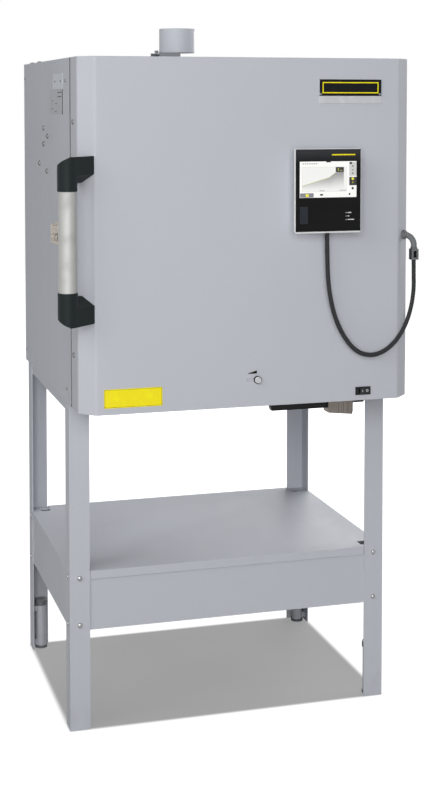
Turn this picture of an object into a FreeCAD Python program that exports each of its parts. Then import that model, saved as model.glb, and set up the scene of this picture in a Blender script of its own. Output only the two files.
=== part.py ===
import FreeCAD, Part
import math
import os
import Sketcher
from FreeCAD import Placement, Rotation, Vector

# Chamber kiln on a floor stand, in millimetres.
# Model space: X = 0 is the middle of the door, Y = 0 the door's front face,
# Z = 0 the floor. The front faces -Y. shift_x and shift_y then move the whole
# kiln so that the origin is the bottom centre of its bounding box.

SIZES = {
    # Where the row's origin lies
    "shift_x": 14.4,
    "shift_y": -327.4,
    # Casing and door
    "body_bottom": 684.0,
    "body_width": 695.0,
    "body_height": 700.0,
    "casing_depth": 574.5,
    "door_depth": 104.0,
    "door_gap": 4.0,
    "door_corner": 30.2,
    "sheet": 1.5,
    "panel_flange": 25.0,
    "rim_flange": 15.0,
    "frame_sheet": 2.0,
    "frame_clearance": 6.0,
    "cover_width": 420.0,
    "cover_height": 480.0,
    "cover_depth": 31.5,
    "louvre_count": 8,
    "louvre_width": 120.0,
    "louvre_height": 5.0,
    "louvre_pitch": 14.0,
    # Brick lining
    "chamber_width": 350.0,
    "chamber_depth": 330.0,
    "chamber_height": 350.0,
    "brick": 114.0,
    "rear_board": 50.0,
    "plug_depth": 50.0,
    "plug_gap": 5.0,
    "door_brick_width": 460.0,
    "door_brick_depth": 50.0,
    "seal_width": 14.0,
    "seal_gap": 0.3,
    "hearth_thick": 12.0,
    "hearth_gap": 16.0,
    # Heating coils on both side walls
    "coil_runs": 6,
    "coil_diameter": 20.0,
    "coil_set_back": 11.0,
    "coil_end_gap": 14.0,
    "coil_wire": 5.0,
    "groove_play": 3.0,
    "bushing_diameter": 16.0,
    "lead_hole": 7.0,
    "terminal_length": 24.0,
    "sheath_diameter": 8.0,
    "sheath_reach": 30.0,
    "head_diameter": 26.0,
    "head_length": 14.0,
    # Flue stub, its draught gap and the damper
    "flue_x": -48.0,
    "flue_y": 400.0,
    "flue_diameter": 80.0,
    "flue_wall": 1.5,
    "flue_gap": 21.0,
    "flue_length": 53.0,
    "exhaust_diameter": 50.0,
    "guide_offset": 3.0,
    "guide_length": 48.0,
    "guide_height": 17.0,
    "guide_flange": 8.0,
    "weld_width": 2.5,
    "weld_height": 3.4,
    "slide_play": 0.3,
    "damper_reach": 39.0,
    "damper_tab": 12.0,
    "damper_knob": 9.0,
    "damper_knob_height": 7.0,
    "damper_stem_height": 2.0,
    "knob_margin": 1.0,
    # Stand
    "stand_width": 689.8,
    "stand_front": 142.4,
    "stand_depth": 518.6,
    "leg_width": 42.3,
    "leg_thick": 3.0,
    "rail_width": 24.5,
    "rail_thick": 3.0,
    "shelf_top": 332.0,
    "shelf_sheet": 2.0,
    "shelf_lip": 17.6,
    "shelf_corner_gap": 1.2,
    "apron_height": 122.0,
    "apron_sheet": 2.0,
    "apron_flange": 20.0,
    "bolt_head": 10.5,
    "bolt_head_height": 3.3,
    "bolt_shank": 6.0,
    "bolt_play": 0.3,
    "bolt_nut": 11.5,
    "bolt_nut_height": 5.0,
    "bolt_edge": 12.0,
    "foot_tube": 25.0,
    "foot_inset": 22.5,
    "foot_height": 114.5,
    "foot_cap": 29.0,
    "foot_cap_height": 12.0,
    "foot_sole": 6.0,
    "foot_spacer": 12.0,
    "spacer_rise": 2.0,
    # Hinges on the right side
    "hinge_offset": 20.0,
    "hinge_inset": 100.0,
    "hinge_knuckle": 18.0,
    "hinge_length": 60.0,
    "hinge_pin": 10.0,
    "pin_play": 0.05,
    "leaf_thick": 4.0,
    "leaf_width": 40.0,
    # Door handle on the left corner
    "handle_stand_off": 64.0,
    "handle_tube": 35.0,
    "handle_wall": 2.5,
    "handle_middle": 1028.0,
    "handle_grip": 194.0,
    "handle_seat": 8.0,
    "handle_cup": 2.0,
    "handle_foot": 35.0,
    "handle_brace": 17.0,
    "handle_brace_root": 14.0,
    "handle_cut_width": 25.5,
    "handle_cut_height": 17.5,
    "handle_foot_height": 66.0,
    # Small things on the door
    "nameplate_x": 209.5,
    "nameplate_drop": 67.2,
    "nameplate_width": 135.4,
    "nameplate_height": 49.6,
    "nameplate_thick": 1.5,
    "slider_x": 12.1,
    "slider_z": 738.5,
    "slider_travel": 19.4,
    "slider_stud": 4.0,
    "slider_knob": 15.5,
    "slider_knob_height": 6.0,
    "slider_plate_width": 50.0,
    "slider_plate_height": 24.0,
    "slider_pocket": 4.0,
    "pocket_play": 2.0,
    "switch_x": 239.9,
    "switch_z": 703.7,
    "switch_width": 33.0,
    "switch_height": 16.5,
    "switch_rim": 1.5,
    "switch_body": 18.0,
    "rocker_x": 243.0,
    "rocker_width": 22.0,
    "rocker_height": 12.6,
    "rocker_play": 0.3,
    "rocker_swing": 0.62,
    "rocker_rise": 2.6,
    "rocker_dish": 1.94,
    "rocker_angle": 10.0,
    "rocker_depth": 3.0,
    "rocker_pivot": 1.0,
    "rocker_root": 2.0,
    # Controller on the door
    "controller_x": 148.3,
    "controller_z": 1118.2,
    "controller_width": 140.7,
    "controller_height": 168.8,
    "controller_reach": 39.0,
    "controller_plate": 6.0,
    "controller_glass": 1.0,
    "controller_edge": 0.9,
    "controller_inset": 16.0,
    "controller_corner": 3.0,
    "holder_width": 88.0,
    "holder_height": 104.0,
    "holder_depth": 8.0,
    "holder_sheet": 2.0,
    "relief_x": 152.9,
    "relief_diameter": 14.0,
    "relief_length": 13.8,
    "flap_x": 96.5,
    "flap_z": 1069.8,
    "flap_width": 16.4,
    "flap_height": 34.5,
    "flap_thick": 1.6,
    "flap_proud": 0.6,
    "flap_play": 0.3,
    "port_width": 5.0,
    "port_height": 12.5,
    "port_depth": 12.0,
    # Conduit and its fittings at the right corner
    "conduit_diameter": 9.5,
    "conduit_rise": 29.0,
    "elbow_z": 1021.7,
    "elbow_nut": 18.0,
    "elbow_nut_length": 6.0,
    "elbow_hose": 12.5,
    "elbow_reach": 25.0,
    "elbow_radius": 16.0,
    "connector_top": 997.5,
    "connector_length": 26.5,
    "connector_width": 19.0,
    "connector_thick": 16.0,
    "connector_corner": 4.0,
    # Lock at the left side
    "lock_y": 162.0,
    "lock_bottom": 1003.0,
    "lock_height": 50.0,
    "lock_reach": 28.5,
    "lock_taper": 7.0,
    "lock_plate": 2.5,
    "lock_foot": 34.0,
    "lock_axis_reach": 16.5,
    "lock_axis_z": 1020.0,
    "lock_cylinder": 11.0,
    "lock_collar": 15.0,
    "lock_collar_length": 6.0,
    "lock_length": 34.0,
    "lock_play": 0.3,
    "lock_block_z": 1029.0,
    "lock_block_height": 17.0,
    "lock_block_width": 22.0,
    "lock_block_depth": 11.0,
    "lock_block_inset": 2.0,
    "lock_proud": 1.0,
    "key_width": 1.2,
    "key_height": 6.0,
    "key_depth": 4.0,
    "cam_length": 13.0,
    "cam_width": 7.0,
    "cam_thick": 3.0,
    # Air inlet under the floor
    "inlet_x": 230.0,
    "inlet_y": 173.0,
    "inlet_width": 56.0,
    "inlet_depth": 32.0,
    "inlet_bottom": 617.0,
    "inlet_slope": 6.0,
    "inlet_sheet": 2.0,
    "rib_count": 4,
    "rib_pitch": 11.0,
    "rib_width": 4.0,
    "rib_depth": 2.0,
    "bar_left": 101.0,
    "bar_right": 316.0,
    "bar_bottom": 633.0,
    "bar_height": 17.0,
    "bar_depth": 16.0,
    "bar_play": 0.4,
    "bar_tail_height": 9.0,
    "bar_nose_cut": 2.6,
    "bar_step": 4.0,
    "bar_edge": 3.0,
}

MITRE = math.tan(math.radians(22.5))
ROOT_HALF = math.sqrt(0.5)

# Sides of the regular prisms that stand for small round pieces which repeat
NUT_SIDES = 6
WIRE_SIDES = 6
HOSE_SIDES = 8
BUSHING_SIDES = 8
HEAD_SIDES = 12
CAP_SIDES = 16


class Size:
    """A length that knows both its number and the expression it comes from."""

    def __init__(self, text, value):
        self.text = text
        self.value = float(value)

    def __add__(self, other):
        return combine(self, "+", other)

    def __radd__(self, other):
        return combine(other, "+", self)

    def __sub__(self, other):
        return combine(self, "-", other)

    def __rsub__(self, other):
        return combine(other, "-", self)

    def __mul__(self, other):
        return combine(self, "*", other)

    def __rmul__(self, other):
        return combine(other, "*", self)

    def __truediv__(self, other):
        return combine(self, "/", other)

    def __neg__(self):
        return combine(0.0, "-", self)


def as_size(value):
    if isinstance(value, Size):
        return value
    return Size("%.9g" % value if value >= 0 else "(%.9g)" % value, value)


def combine(left, sign, right):
    one, two = as_size(left), as_size(right)
    results = {
        "+": one.value + two.value,
        "-": one.value - two.value,
        "*": one.value * two.value,
        "/": one.value / two.value if two.value else 0.0,
    }
    return Size("(%s %s %s)" % (one.text, sign, two.text), results[sign])


class Dims:
    """The driving sizes by name, each bound to its cell of the sheet."""

    def __init__(self, sheet, sizes):
        for row, (name, value) in enumerate(sizes.items(), start=1):
            sheet.set("A%d" % row, name)
            sheet.set("B%d" % row, str(value))
            sheet.setAlias("B%d" % row, name)
            setattr(self, name, Size("Sizes." + name, value))


doc = FreeCAD.newDocument("ChamberKiln")
sheet_object = doc.addObject("Spreadsheet::Sheet", "Sizes")
d = Dims(sheet_object, SIZES)
doc.recompute()
subparts = []
placed = {}


# Helpers

def bind(obj, name, value):
    """Set a property from a size, so that it follows the sheet."""
    size = as_size(value)
    obj.setExpression(name, size.text)


def place(obj, x, y, z, turn=None):
    """Put an object at a point, turned about its own origin first."""
    values = [as_size(v) for v in (x, y, z)]
    rotation = turn if turn is not None else Rotation()
    obj.Placement = Placement(Vector(*[v.value for v in values]), rotation)
    for axis, value in zip("xyz", values):
        obj.setExpression("Placement.Base." + axis, value.text)
    placed[obj.Name] = (x, y, z, turn)
    return obj


def subpart(label, obj):
    """Name a finished piece and move it from model space to the row's frame."""
    x, y, z, turn = placed.get(obj.Name, (0.0, 0.0, 0.0, None))
    place(obj, d.shift_x + x, d.shift_y + y, z, turn)
    obj.Label = label
    subparts.append(obj)
    return obj


def box(name, low, high):
    """A box between two corners."""
    obj = doc.addObject("Part::Box", name)
    for side, start, end in zip(("Length", "Width", "Height"), low, high):
        bind(obj, side, as_size(end) - start)
    return place(obj, *low)


TURNS = {
    "X": Rotation(Vector(0, 1, 0), 90),
    "Y": Rotation(Vector(1, 0, 0), -90),
    "Z": Rotation(),
}


def cylinder(name, diameter, length, foot, axis="Z"):
    """A cylinder from its foot's centre along +X, +Y or +Z."""
    obj = doc.addObject("Part::Cylinder", name)
    bind(obj, "Radius", as_size(diameter) / 2)
    bind(obj, "Height", length)
    return place(obj, *foot, turn=TURNS[axis])


def prism(name, sides, diameter, length, foot, axis="Z"):
    """A regular prism, its diameter taken over the corners, along +X, +Y or +Z."""
    obj = doc.addObject("Part::Prism", name)
    obj.Polygon = sides
    bind(obj, "Circumradius", as_size(diameter) / 2)
    bind(obj, "Height", length)
    return place(obj, *foot, turn=TURNS[axis])


def fuse(name, *pieces):
    obj = doc.addObject("Part::MultiFuse", name)
    obj.Shapes = list(pieces)
    return obj


def compound(name, *pieces):
    obj = doc.addObject("Part::Compound", name)
    obj.Links = list(pieces)
    return obj


def cut(name, base, *tools):
    tool = tools[0] if len(tools) == 1 else fuse(name + "_tools", *tools)
    obj = doc.addObject("Part::Cut", name)
    obj.Base = base
    obj.Tool = tool
    return obj


def common(name, base, tool):
    obj = doc.addObject("Part::Common", name)
    obj.Base = base
    obj.Tool = tool
    return obj


def sketch(body, name, plane, points):
    """A closed outline on one of the body's origin planes, each corner tied to the sheet."""
    obj = body.newObject("Sketcher::SketchObject", name)
    support = [f for f in body.Origin.OriginFeatures if f.Role == plane + "_Plane"][0]
    obj.AttachmentSupport = (support, "")
    obj.MapMode = "FlatFace"
    corners = [(as_size(x), as_size(y)) for x, y in points]
    count = len(corners)
    for i, (x, y) in enumerate(corners):
        x_next, y_next = corners[(i + 1) % count]
        start = Vector(x.value, y.value, 0)
        obj.addGeometry(Part.LineSegment(start, Vector(x_next.value, y_next.value, 0)), False)
    for i in range(count):
        obj.addConstraint(Sketcher.Constraint("Coincident", i, 2, (i + 1) % count, 1))
    for i, corner in enumerate(corners):
        for kind, value in zip(("DistanceX", "DistanceY"), corner):
            number = obj.addConstraint(Sketcher.Constraint(kind, -1, 1, i, 1, value.value))
            obj.setExpression("Constraints[%d]" % number, value.text)
    return obj


def profile(name, plane, points, length, start, turn=None, both_ways=False):
    """A body padded from an outline; XZ outlines are padded towards +Y."""
    body = doc.addObject("PartDesign::Body", name)
    pad = body.newObject("PartDesign::Pad", name + "_pad")
    pad.Profile = sketch(body, name + "_outline", plane, points)
    bind(pad, "Length", length)
    pad.Reversed = plane == "XZ"
    pad.Midplane = both_ways
    body.Tip = pad
    return place(body, *start, turn=turn)


def angle_outline(width, thick):
    """The L section of an angle bar, its outer corner at the origin."""
    return [(0, 0), (width, 0), (width, thick), (thick, thick), (thick, width), (0, width)]


def mirror_x(points):
    return [(-as_size(x), y) for x, y in points]


# Sizes worked out from the driving ones

half_body = d.body_width / 2
body_top = d.body_bottom + d.body_height
body_middle = d.body_bottom + d.body_height / 2
case_front = d.door_depth + d.door_gap
case_back = case_front + d.casing_depth
inner_half = half_body - d.sheet

half_chamber = d.chamber_width / 2
chamber_floor = body_middle - d.chamber_height / 2
chamber_roof = body_middle + d.chamber_height / 2
chamber_front = d.door_depth + d.plug_depth
chamber_back = chamber_front + d.chamber_depth
lining_half = half_chamber + d.brick
lining_front = case_front + d.sheet + d.frame_sheet
lining_bottom = chamber_floor - d.brick
lining_top = chamber_roof + d.brick
lining_back = chamber_back + d.brick
board_back = lining_back + d.rear_board

half_stand = d.stand_width / 2
stand_back = d.stand_front + d.stand_depth
apron_top = d.shelf_top - d.shelf_sheet
apron_bottom = apron_top - d.apron_height

hinge_x = half_body + d.hinge_offset
hinge_y = d.door_depth + d.door_gap / 2
hinge_low = d.body_bottom + d.hinge_inset
hinge_high = body_top - d.hinge_inset

corner_x = half_body - d.door_corner / 2
corner_y = d.door_corner / 2


# Stand

def legs():
    outline = angle_outline(d.leg_width, d.leg_thick)
    corners = [
        ("leg_front_left", -half_stand, d.stand_front, 0),
        ("leg_front_right", half_stand, d.stand_front, 90),
        ("leg_rear_right", half_stand, stand_back, 180),
        ("leg_rear_left", -half_stand, stand_back, 270),
    ]
    for label, x, y, angle in corners:
        leg = profile(label + "_bar", "XY", outline, d.body_bottom, (0, 0, 0))
        place(leg, x, y, 0, Rotation(Vector(0, 0, 1), angle))
        subpart(label, cut_bolt_holes(label, leg, x, y))


def bolt_rows():
    """The two heights at which the aprons are bolted."""
    return (apron_top - d.bolt_edge, apron_bottom + d.bolt_edge)


def bolt_spots(x, y):
    """Centres of a leg's bolts: on the face towards Y, and on the side face."""
    inward_x = -1 if as_size(x).value > 0 else 1
    inward_y = 1 if as_size(y).value == d.stand_front.value else -1
    half_leg = d.leg_width / 2
    return (x + half_leg * inward_x, y + half_leg * inward_y, inward_x, inward_y)


def square_bar(name, half, x, y, z, axis, length):
    """A square bar or hole of half this width, from a point along +X or +Y."""
    if axis == "X":
        return box(name, (x, y - half, z - half), (x + length, y + half, z + half))
    return box(name, (x - half, y, z - half), (x + half, y + length, z + half))


def bolt_hole(name, x, y, z, axis, depth):
    return square_bar(name, d.bolt_shank / 2 + d.bolt_play, x, y, z, axis, depth)


def cut_bolt_holes(label, leg, x, y):
    """Clearance holes for the apron bolts through both flanges of a leg."""
    face_x, side_y, inward_x, inward_y = bolt_spots(x, y)
    tools = []
    for row, z in enumerate(bolt_rows()):
        start_y = y if inward_y > 0 else y - d.leg_thick
        start_x = x if inward_x > 0 else x - d.leg_thick
        name = "%s_hole_%d" % (label, row)
        tools.append(bolt_hole(name + "_y", face_x, start_y, z, "Y", d.leg_thick))
        tools.append(bolt_hole(name + "_x", start_x, side_y, z, "X", d.leg_thick))
    return cut(label, leg, *tools)


def stand_corners():
    for side_x in (-1, 1):
        for y in (d.stand_front, stand_back):
            yield half_stand * side_x, y


def bolt(name, x, y, z, axis, inward):
    """A cup-square bolt: head outside the leg, square neck through both sheets, nut inside."""
    grip = d.leg_thick + d.apron_sheet

    def foot(start, length):
        offset = start if inward > 0 else -(as_size(start) + length)
        return (x + offset, y, z) if axis == "X" else (x, y + offset, z)

    reach = grip + d.bolt_nut_height
    head = prism(name + "_head", HEAD_SIDES, d.bolt_head, d.bolt_head_height,
                 foot(-d.bolt_head_height, d.bolt_head_height), axis)
    neck = square_bar(name + "_neck", d.bolt_shank / 2, *foot(0, reach), axis, reach)
    nut = prism(name + "_nut", NUT_SIDES, d.bolt_nut, d.bolt_nut_height,
                foot(grip, d.bolt_nut_height), axis)
    return fuse(name, head, neck, nut)


def apron_bolts():
    bolts = []
    for x, y in stand_corners():
        face_x, side_y, inward_x, inward_y = bolt_spots(x, y)
        for z in bolt_rows():
            number = len(bolts)
            bolts.append(bolt("bolt_%d" % number, face_x, y, z, "Y", inward_y))
            bolts.append(bolt("bolt_%d" % (number + 1), x, side_y, z, "X", inward_x))
    subpart("apron_bolts", compound("apron_bolts", *bolts))


def channel_outline(height, flange, thick):
    """A C section with its back on the first axis, open towards the second."""
    return [(0, 0), (flange, 0), (flange, thick), (thick, thick), (thick, height - thick),
            (flange, height - thick), (flange, height), (0, height)]


def apron_pair_front_rear():
    """The front and rear aprons fit between the webs of the side ones."""
    outer = half_stand - d.leg_thick - d.apron_sheet
    outline = channel_outline(d.apron_height, d.apron_flange, d.apron_sheet)
    aprons = []
    for name, y, mirrored in (("apron_front", d.stand_front + d.leg_thick, False),
                              ("apron_rear", stand_back - d.leg_thick, True)):
        points = mirror_x(outline) if mirrored else outline
        bar = profile(name + "_bar", "YZ", points, 2 * outer, (-outer, y, apron_bottom))
        tools = []
        start_y = y - d.apron_sheet if mirrored else y
        for side in (-1, 1):
            x = (half_stand - d.leg_width / 2) * side
            for row, z in enumerate(bolt_rows()):
                hole = "%s_hole_%d_%d" % (name, row, side + 1)
                tools.append(bolt_hole(hole, x, start_y, z, "Y", d.apron_sheet))
        aprons.append(cut(name, bar, *tools))
    subpart("aprons_front_rear", compound("aprons_front_rear", *aprons))


def apron_pair_sides():
    """The side aprons reach from leg to leg; their flanges are notched for the other two."""
    start = d.stand_front + d.leg_thick
    end = stand_back - d.leg_thick
    notch = d.apron_flange
    outer = half_stand - d.leg_thick
    outline = channel_outline(d.apron_height, d.apron_flange, d.apron_sheet)
    aprons = []
    for side in (-1, 1):
        name = "apron_left" if side < 0 else "apron_right"
        points = mirror_x(outline) if side > 0 else outline
        bar = profile(name + "_bar", "XZ", points, end - start, (outer * side, start, apron_bottom))
        tools = []
        near = (outer - d.apron_sheet) * side
        far = (outer - d.apron_flange) * side
        low_x, high_x = (near, far) if side < 0 else (far, near)
        for number, y in enumerate((start, end - notch)):
            corner = "%s_notch_%d" % (name, number)
            tools.append(box(corner, (low_x, y, apron_bottom), (high_x, y + notch, apron_top)))
        wall = outer * side if side < 0 else outer - d.apron_sheet
        for y in (d.stand_front + d.leg_width / 2, stand_back - d.leg_width / 2):
            for z in bolt_rows():
                hole = "%s_hole_%d" % (name, len(tools))
                tools.append(bolt_hole(hole, wall, y, z, "X", d.apron_sheet))
        aprons.append(cut(name, bar, *tools))
    subpart("aprons_left_right", compound("aprons_left_right", *aprons))


def shelf_tray():
    """A folded tray: flat top, down-turned lips between the legs, notched corners."""
    outer = box("shelf_block", (-half_stand, d.stand_front, d.shelf_top - d.shelf_lip),
                (half_stand, stand_back, d.shelf_top))
    thick = d.shelf_sheet
    hollow = box("shelf_hollow",
                 (thick - half_stand, d.stand_front + thick, d.shelf_top - d.shelf_lip),
                 (half_stand - thick, stand_back - thick, apron_top))
    notch = d.leg_width + d.shelf_corner_gap
    tools = [hollow]
    for x, y in stand_corners():
        low_x = x if x.value < 0 else x - notch
        low_y = y if y.value == d.stand_front.value else y - notch
        name = "shelf_notch_%d" % len(tools)
        tools.append(box(name, (low_x, low_y, d.shelf_top - d.shelf_lip),
                         (low_x + notch, low_y + notch, d.shelf_top)))
    subpart("shelf_tray", cut("shelf_tray", outer, *tools))


def top_rails():
    """Four angle bars between the legs that carry the casing."""
    low = d.body_bottom - d.rail_width
    outer = half_stand - d.leg_thick
    front = d.stand_front + d.leg_thick
    back = stand_back - d.leg_thick
    flange = [(0, 0), (d.rail_thick, 0), (d.rail_thick, d.rail_width - d.rail_thick),
              (d.rail_width, d.rail_width - d.rail_thick), (d.rail_width, d.rail_width),
              (0, d.rail_width)]
    rails = [
        profile("rail_front", "YZ", flange, 2 * outer, (-outer, front, low)),
        profile("rail_rear", "YZ", mirror_x(flange), 2 * outer, (-outer, back, low)),
    ]
    start = front + d.rail_width
    length = back - d.rail_width - start
    rails.append(profile("rail_left", "XZ", flange, length, (-outer, start, low)))
    rails.append(profile("rail_right", "XZ", mirror_x(flange), length, (outer, start, low)))
    subpart("top_rails", compound("top_rails", *rails))


def foot_centres():
    for x, y in stand_corners():
        inward_x = 1 if x.value < 0 else -1
        inward_y = 1 if y.value == d.stand_front.value else -1
        yield x + d.foot_inset * inward_x, y + d.foot_inset * inward_y, inward_x


def foot_tubes():
    """A levelling foot in each leg's corner, on two spacers welded to the side flange."""
    tubes = []
    tube_top = d.foot_height - d.foot_cap_height
    for number, (x, y, inward) in enumerate(foot_centres()):
        name = "foot_tube_%d" % number
        tube = prism(name + "_bar", CAP_SIDES, d.foot_tube, tube_top - d.foot_sole,
                     (x, y, d.foot_sole))
        reach = (d.foot_inset - d.leg_thick) * inward
        low_x, high_x = (x - reach, x) if inward > 0 else (x, x - reach)
        pieces = [tube]
        spots = (d.foot_sole + d.spacer_rise, tube_top - d.spacer_rise - d.foot_spacer)
        for spot, z in enumerate(spots):
            pieces.append(box("%s_spacer_%d" % (name, spot), (low_x, y - d.foot_spacer / 2, z),
                              (high_x, y + d.foot_spacer / 2, z + d.foot_spacer)))
        tubes.append(fuse(name, *pieces))
    subpart("foot_tubes", compound("foot_tubes", *tubes))


def foot_caps():
    """A plastic cap on each end of each foot tube; the lower one is the sole."""
    caps = []
    for number, (x, y, inward) in enumerate(foot_centres()):
        name = "foot_cap_%d" % number
        caps.append(prism(name + "_sole", CAP_SIDES, d.foot_cap, d.foot_sole, (x, y, 0)))
        caps.append(prism(name + "_top", CAP_SIDES, d.foot_cap, d.foot_cap_height,
                          (x, y, d.foot_height - d.foot_cap_height)))
    subpart("foot_caps", compound("foot_caps", *caps))


# Casing

def side_panels():
    """A sheet folded round the front and rear edges, one for each side."""
    flange = d.panel_flange
    thick = d.sheet
    depth = d.casing_depth
    outline = [(0, 0), (flange, 0), (flange, thick), (thick, thick), (thick, depth - thick),
               (flange, depth - thick), (flange, depth), (0, depth)]
    for side in (-1, 1):
        label = "side_panel_left" if side < 0 else "side_panel_right"
        points = mirror_x(outline) if side > 0 else outline
        panel = profile(label + "_fold", "XY", points, d.body_height,
                        (half_body * side, case_front, d.body_bottom))
        low_x, high_x = -inner_half, flange - half_body
        if side > 0:
            low_x, high_x = -high_x, -low_x
        tools = []
        for number, z in enumerate((d.body_bottom, body_top - d.rim_flange)):
            name = "%s_notch_%d" % (label, number)
            tools.append(box(name, (low_x, case_front, z), (high_x, case_back, z + d.rim_flange)))
        subpart(label, cut(label, panel, *tools))


def rim_tray(name, flat_low, flat_high, flange_low, flange_high):
    """A sheet between the side panels with a folded flange at the front and the rear."""
    pieces = [
        box(name + "_flat", (-inner_half, case_front, flat_low), (inner_half, case_back, flat_high)),
        box(name + "_front", (-inner_half, case_front, flange_low),
            (inner_half, case_front + d.sheet, flange_high)),
        box(name + "_rear", (-inner_half, case_back - d.sheet, flange_low),
            (inner_half, case_back, flange_high)),
    ]
    return fuse(name + "_fold", *pieces)


def roof_panel():
    fold = rim_tray("roof", body_top - d.sheet, body_top, body_top - d.rim_flange, body_top)
    hole = cylinder("roof_hole", d.exhaust_diameter, d.sheet, (d.flue_x, d.flue_y, body_top - d.sheet))
    subpart("roof_panel", cut("roof_panel", fold, hole))


def floor_pan():
    fold = rim_tray("floor", d.body_bottom, d.body_bottom + d.sheet, d.body_bottom,
                    d.body_bottom + d.rim_flange)
    subpart("floor_pan", fold)


def front_frame():
    """The sheet round the chamber's mouth, behind the folded edges of the casing."""
    low_y = case_front + d.sheet
    high_y = low_y + d.frame_sheet
    plate = box("frame_plate", (-inner_half, low_y, d.body_bottom + d.sheet),
                (inner_half, high_y, body_top - d.sheet))
    seal_room = d.plug_gap + d.seal_width + d.frame_clearance
    half = half_chamber + seal_room
    rise = d.chamber_height / 2 + seal_room
    mouth = box("frame_mouth", (-half, low_y, body_middle - rise), (half, high_y, body_middle + rise))
    subpart("front_frame", cut("front_frame", plate, mouth))


def rear_panel():
    """The rear sheet inside the folded edges, open behind the terminals."""
    low_y = case_back - 2 * d.sheet
    high_y = case_back - d.sheet
    plate = box("rear_plate", (-inner_half, low_y, d.body_bottom + d.sheet),
                (inner_half, high_y, body_top - d.sheet))
    edge = d.panel_flange
    half_width = d.cover_width / 2 - edge
    half_height = d.cover_height / 2 - edge
    window = box("rear_window", (-half_width, low_y, body_middle - half_height),
                 (half_width, high_y, body_middle + half_height))
    subpart("rear_panel", cut("rear_panel", plate, window))


def rear_cover():
    """A pressed box over the terminals with two fields of louvre slots."""
    low_y = case_back - d.sheet
    high_y = low_y + d.cover_depth
    half = d.cover_width / 2
    low_z = body_middle - d.cover_height / 2
    high_z = body_middle + d.cover_height / 2
    thick = d.sheet
    block = box("cover_block", (-half, low_y, low_z), (half, high_y, high_z))
    tools = [box("cover_hollow", (thick - half, low_y, low_z + thick),
                 (half - thick, high_y - thick, high_z - thick))]
    for column in (-1, 1):
        centre = d.cover_width / 4 * column
        for row in range(SIZES["louvre_count"]):
            for end, first in (("low", low_z + 2 * d.louvre_pitch),
                               ("high", high_z - 2 * d.louvre_pitch - d.louvre_height
                                - d.louvre_pitch * (SIZES["louvre_count"] - 1))):
                z = first + d.louvre_pitch * row
                name = "louvre_%s_%d_%d" % (end, row, column + 1)
                tools.append(box(name, (centre - d.louvre_width / 2, high_y - thick, z),
                                 (centre + d.louvre_width / 2, high_y, z + d.louvre_height)))
    subpart("rear_cover", cut("rear_cover", block, *tools))


# Lining

def coil_heights():
    pitch = d.chamber_height / SIZES["coil_runs"]
    return [chamber_floor + pitch * (run + 0.5) for run in range(SIZES["coil_runs"])]


coil_centre = half_chamber + d.coil_set_back
coil_start = chamber_front + d.coil_end_gap
coil_end = chamber_back - d.coil_end_gap


def brick_walls():
    """Side walls with a groove that each coil run lies in, and holes for the two leads."""
    heights = coil_heights()
    half_groove = d.coil_diameter / 2 + d.groove_play
    back_face = coil_centre + half_groove
    for side in (-1, 1):
        label = "brick_left" if side < 0 else "brick_right"
        low_x, high_x = (-lining_half, -half_chamber) if side < 0 else (half_chamber, lining_half)
        wall = box(label + "_block", (low_x, lining_front, chamber_floor),
                   (high_x, lining_back, chamber_roof))
        cut_low, cut_high = (-back_face, -half_chamber) if side < 0 else (half_chamber, back_face)
        tools = []
        for run, z in enumerate(heights):
            name = "%s_groove_%d" % (label, run)
            tools.append(box(name, (cut_low, coil_start - d.groove_play, z - d.coil_diameter / 2),
                             (cut_high, coil_end + d.groove_play, z + half_groove)))
        for run in range(len(heights) - 1):
            front = run % 2 == 0
            low_y = coil_start - d.groove_play if front else coil_end - 2 * d.coil_wire
            name = "%s_link_groove_%d" % (label, run)
            tools.append(box(name, (cut_low, low_y, heights[run]),
                             (cut_high, low_y + 2 * d.coil_wire + d.groove_play, heights[run + 1])))
        for end, z in (("low", heights[0]), ("high", heights[-1])):
            name = "%s_lead_hole_%s" % (label, end)
            tools.append(square_bar(name, d.lead_hole / 2, coil_centre * side, coil_end, z, "Y",
                                    lining_back - coil_end))
        subpart(label, cut(label, wall, *tools))


def brick_floor():
    subpart("brick_floor", box("brick_floor", (-lining_half, lining_front, lining_bottom),
                               (lining_half, lining_back, chamber_floor)))


def brick_roof():
    """Four bricks that leave a square duct between them."""
    half = d.exhaust_diameter / 2
    left, right = d.flue_x - half, d.flue_x + half
    bricks = [
        ("left", (-lining_half, lining_front), (left, lining_back)),
        ("right", (right, lining_front), (lining_half, lining_back)),
        ("front", (left, lining_front), (right, d.flue_y - half)),
        ("rear", (left, d.flue_y + half), (right, lining_back)),
    ]
    subpart("brick_roof", compound("brick_roof", *[
        box("brick_roof_" + name, low + (chamber_roof,), high + (lining_top,))
        for name, low, high in bricks]))


def brick_rear():
    block = box("brick_rear_block", (-half_chamber, chamber_back, chamber_floor),
                (half_chamber, lining_back, chamber_roof))
    hole = square_bar("brick_rear_hole", d.sheath_diameter / 2 + d.slide_play,
                      0, chamber_back, body_middle, "Y", d.brick)
    subpart("brick_rear", cut("brick_rear", block, hole))


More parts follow.
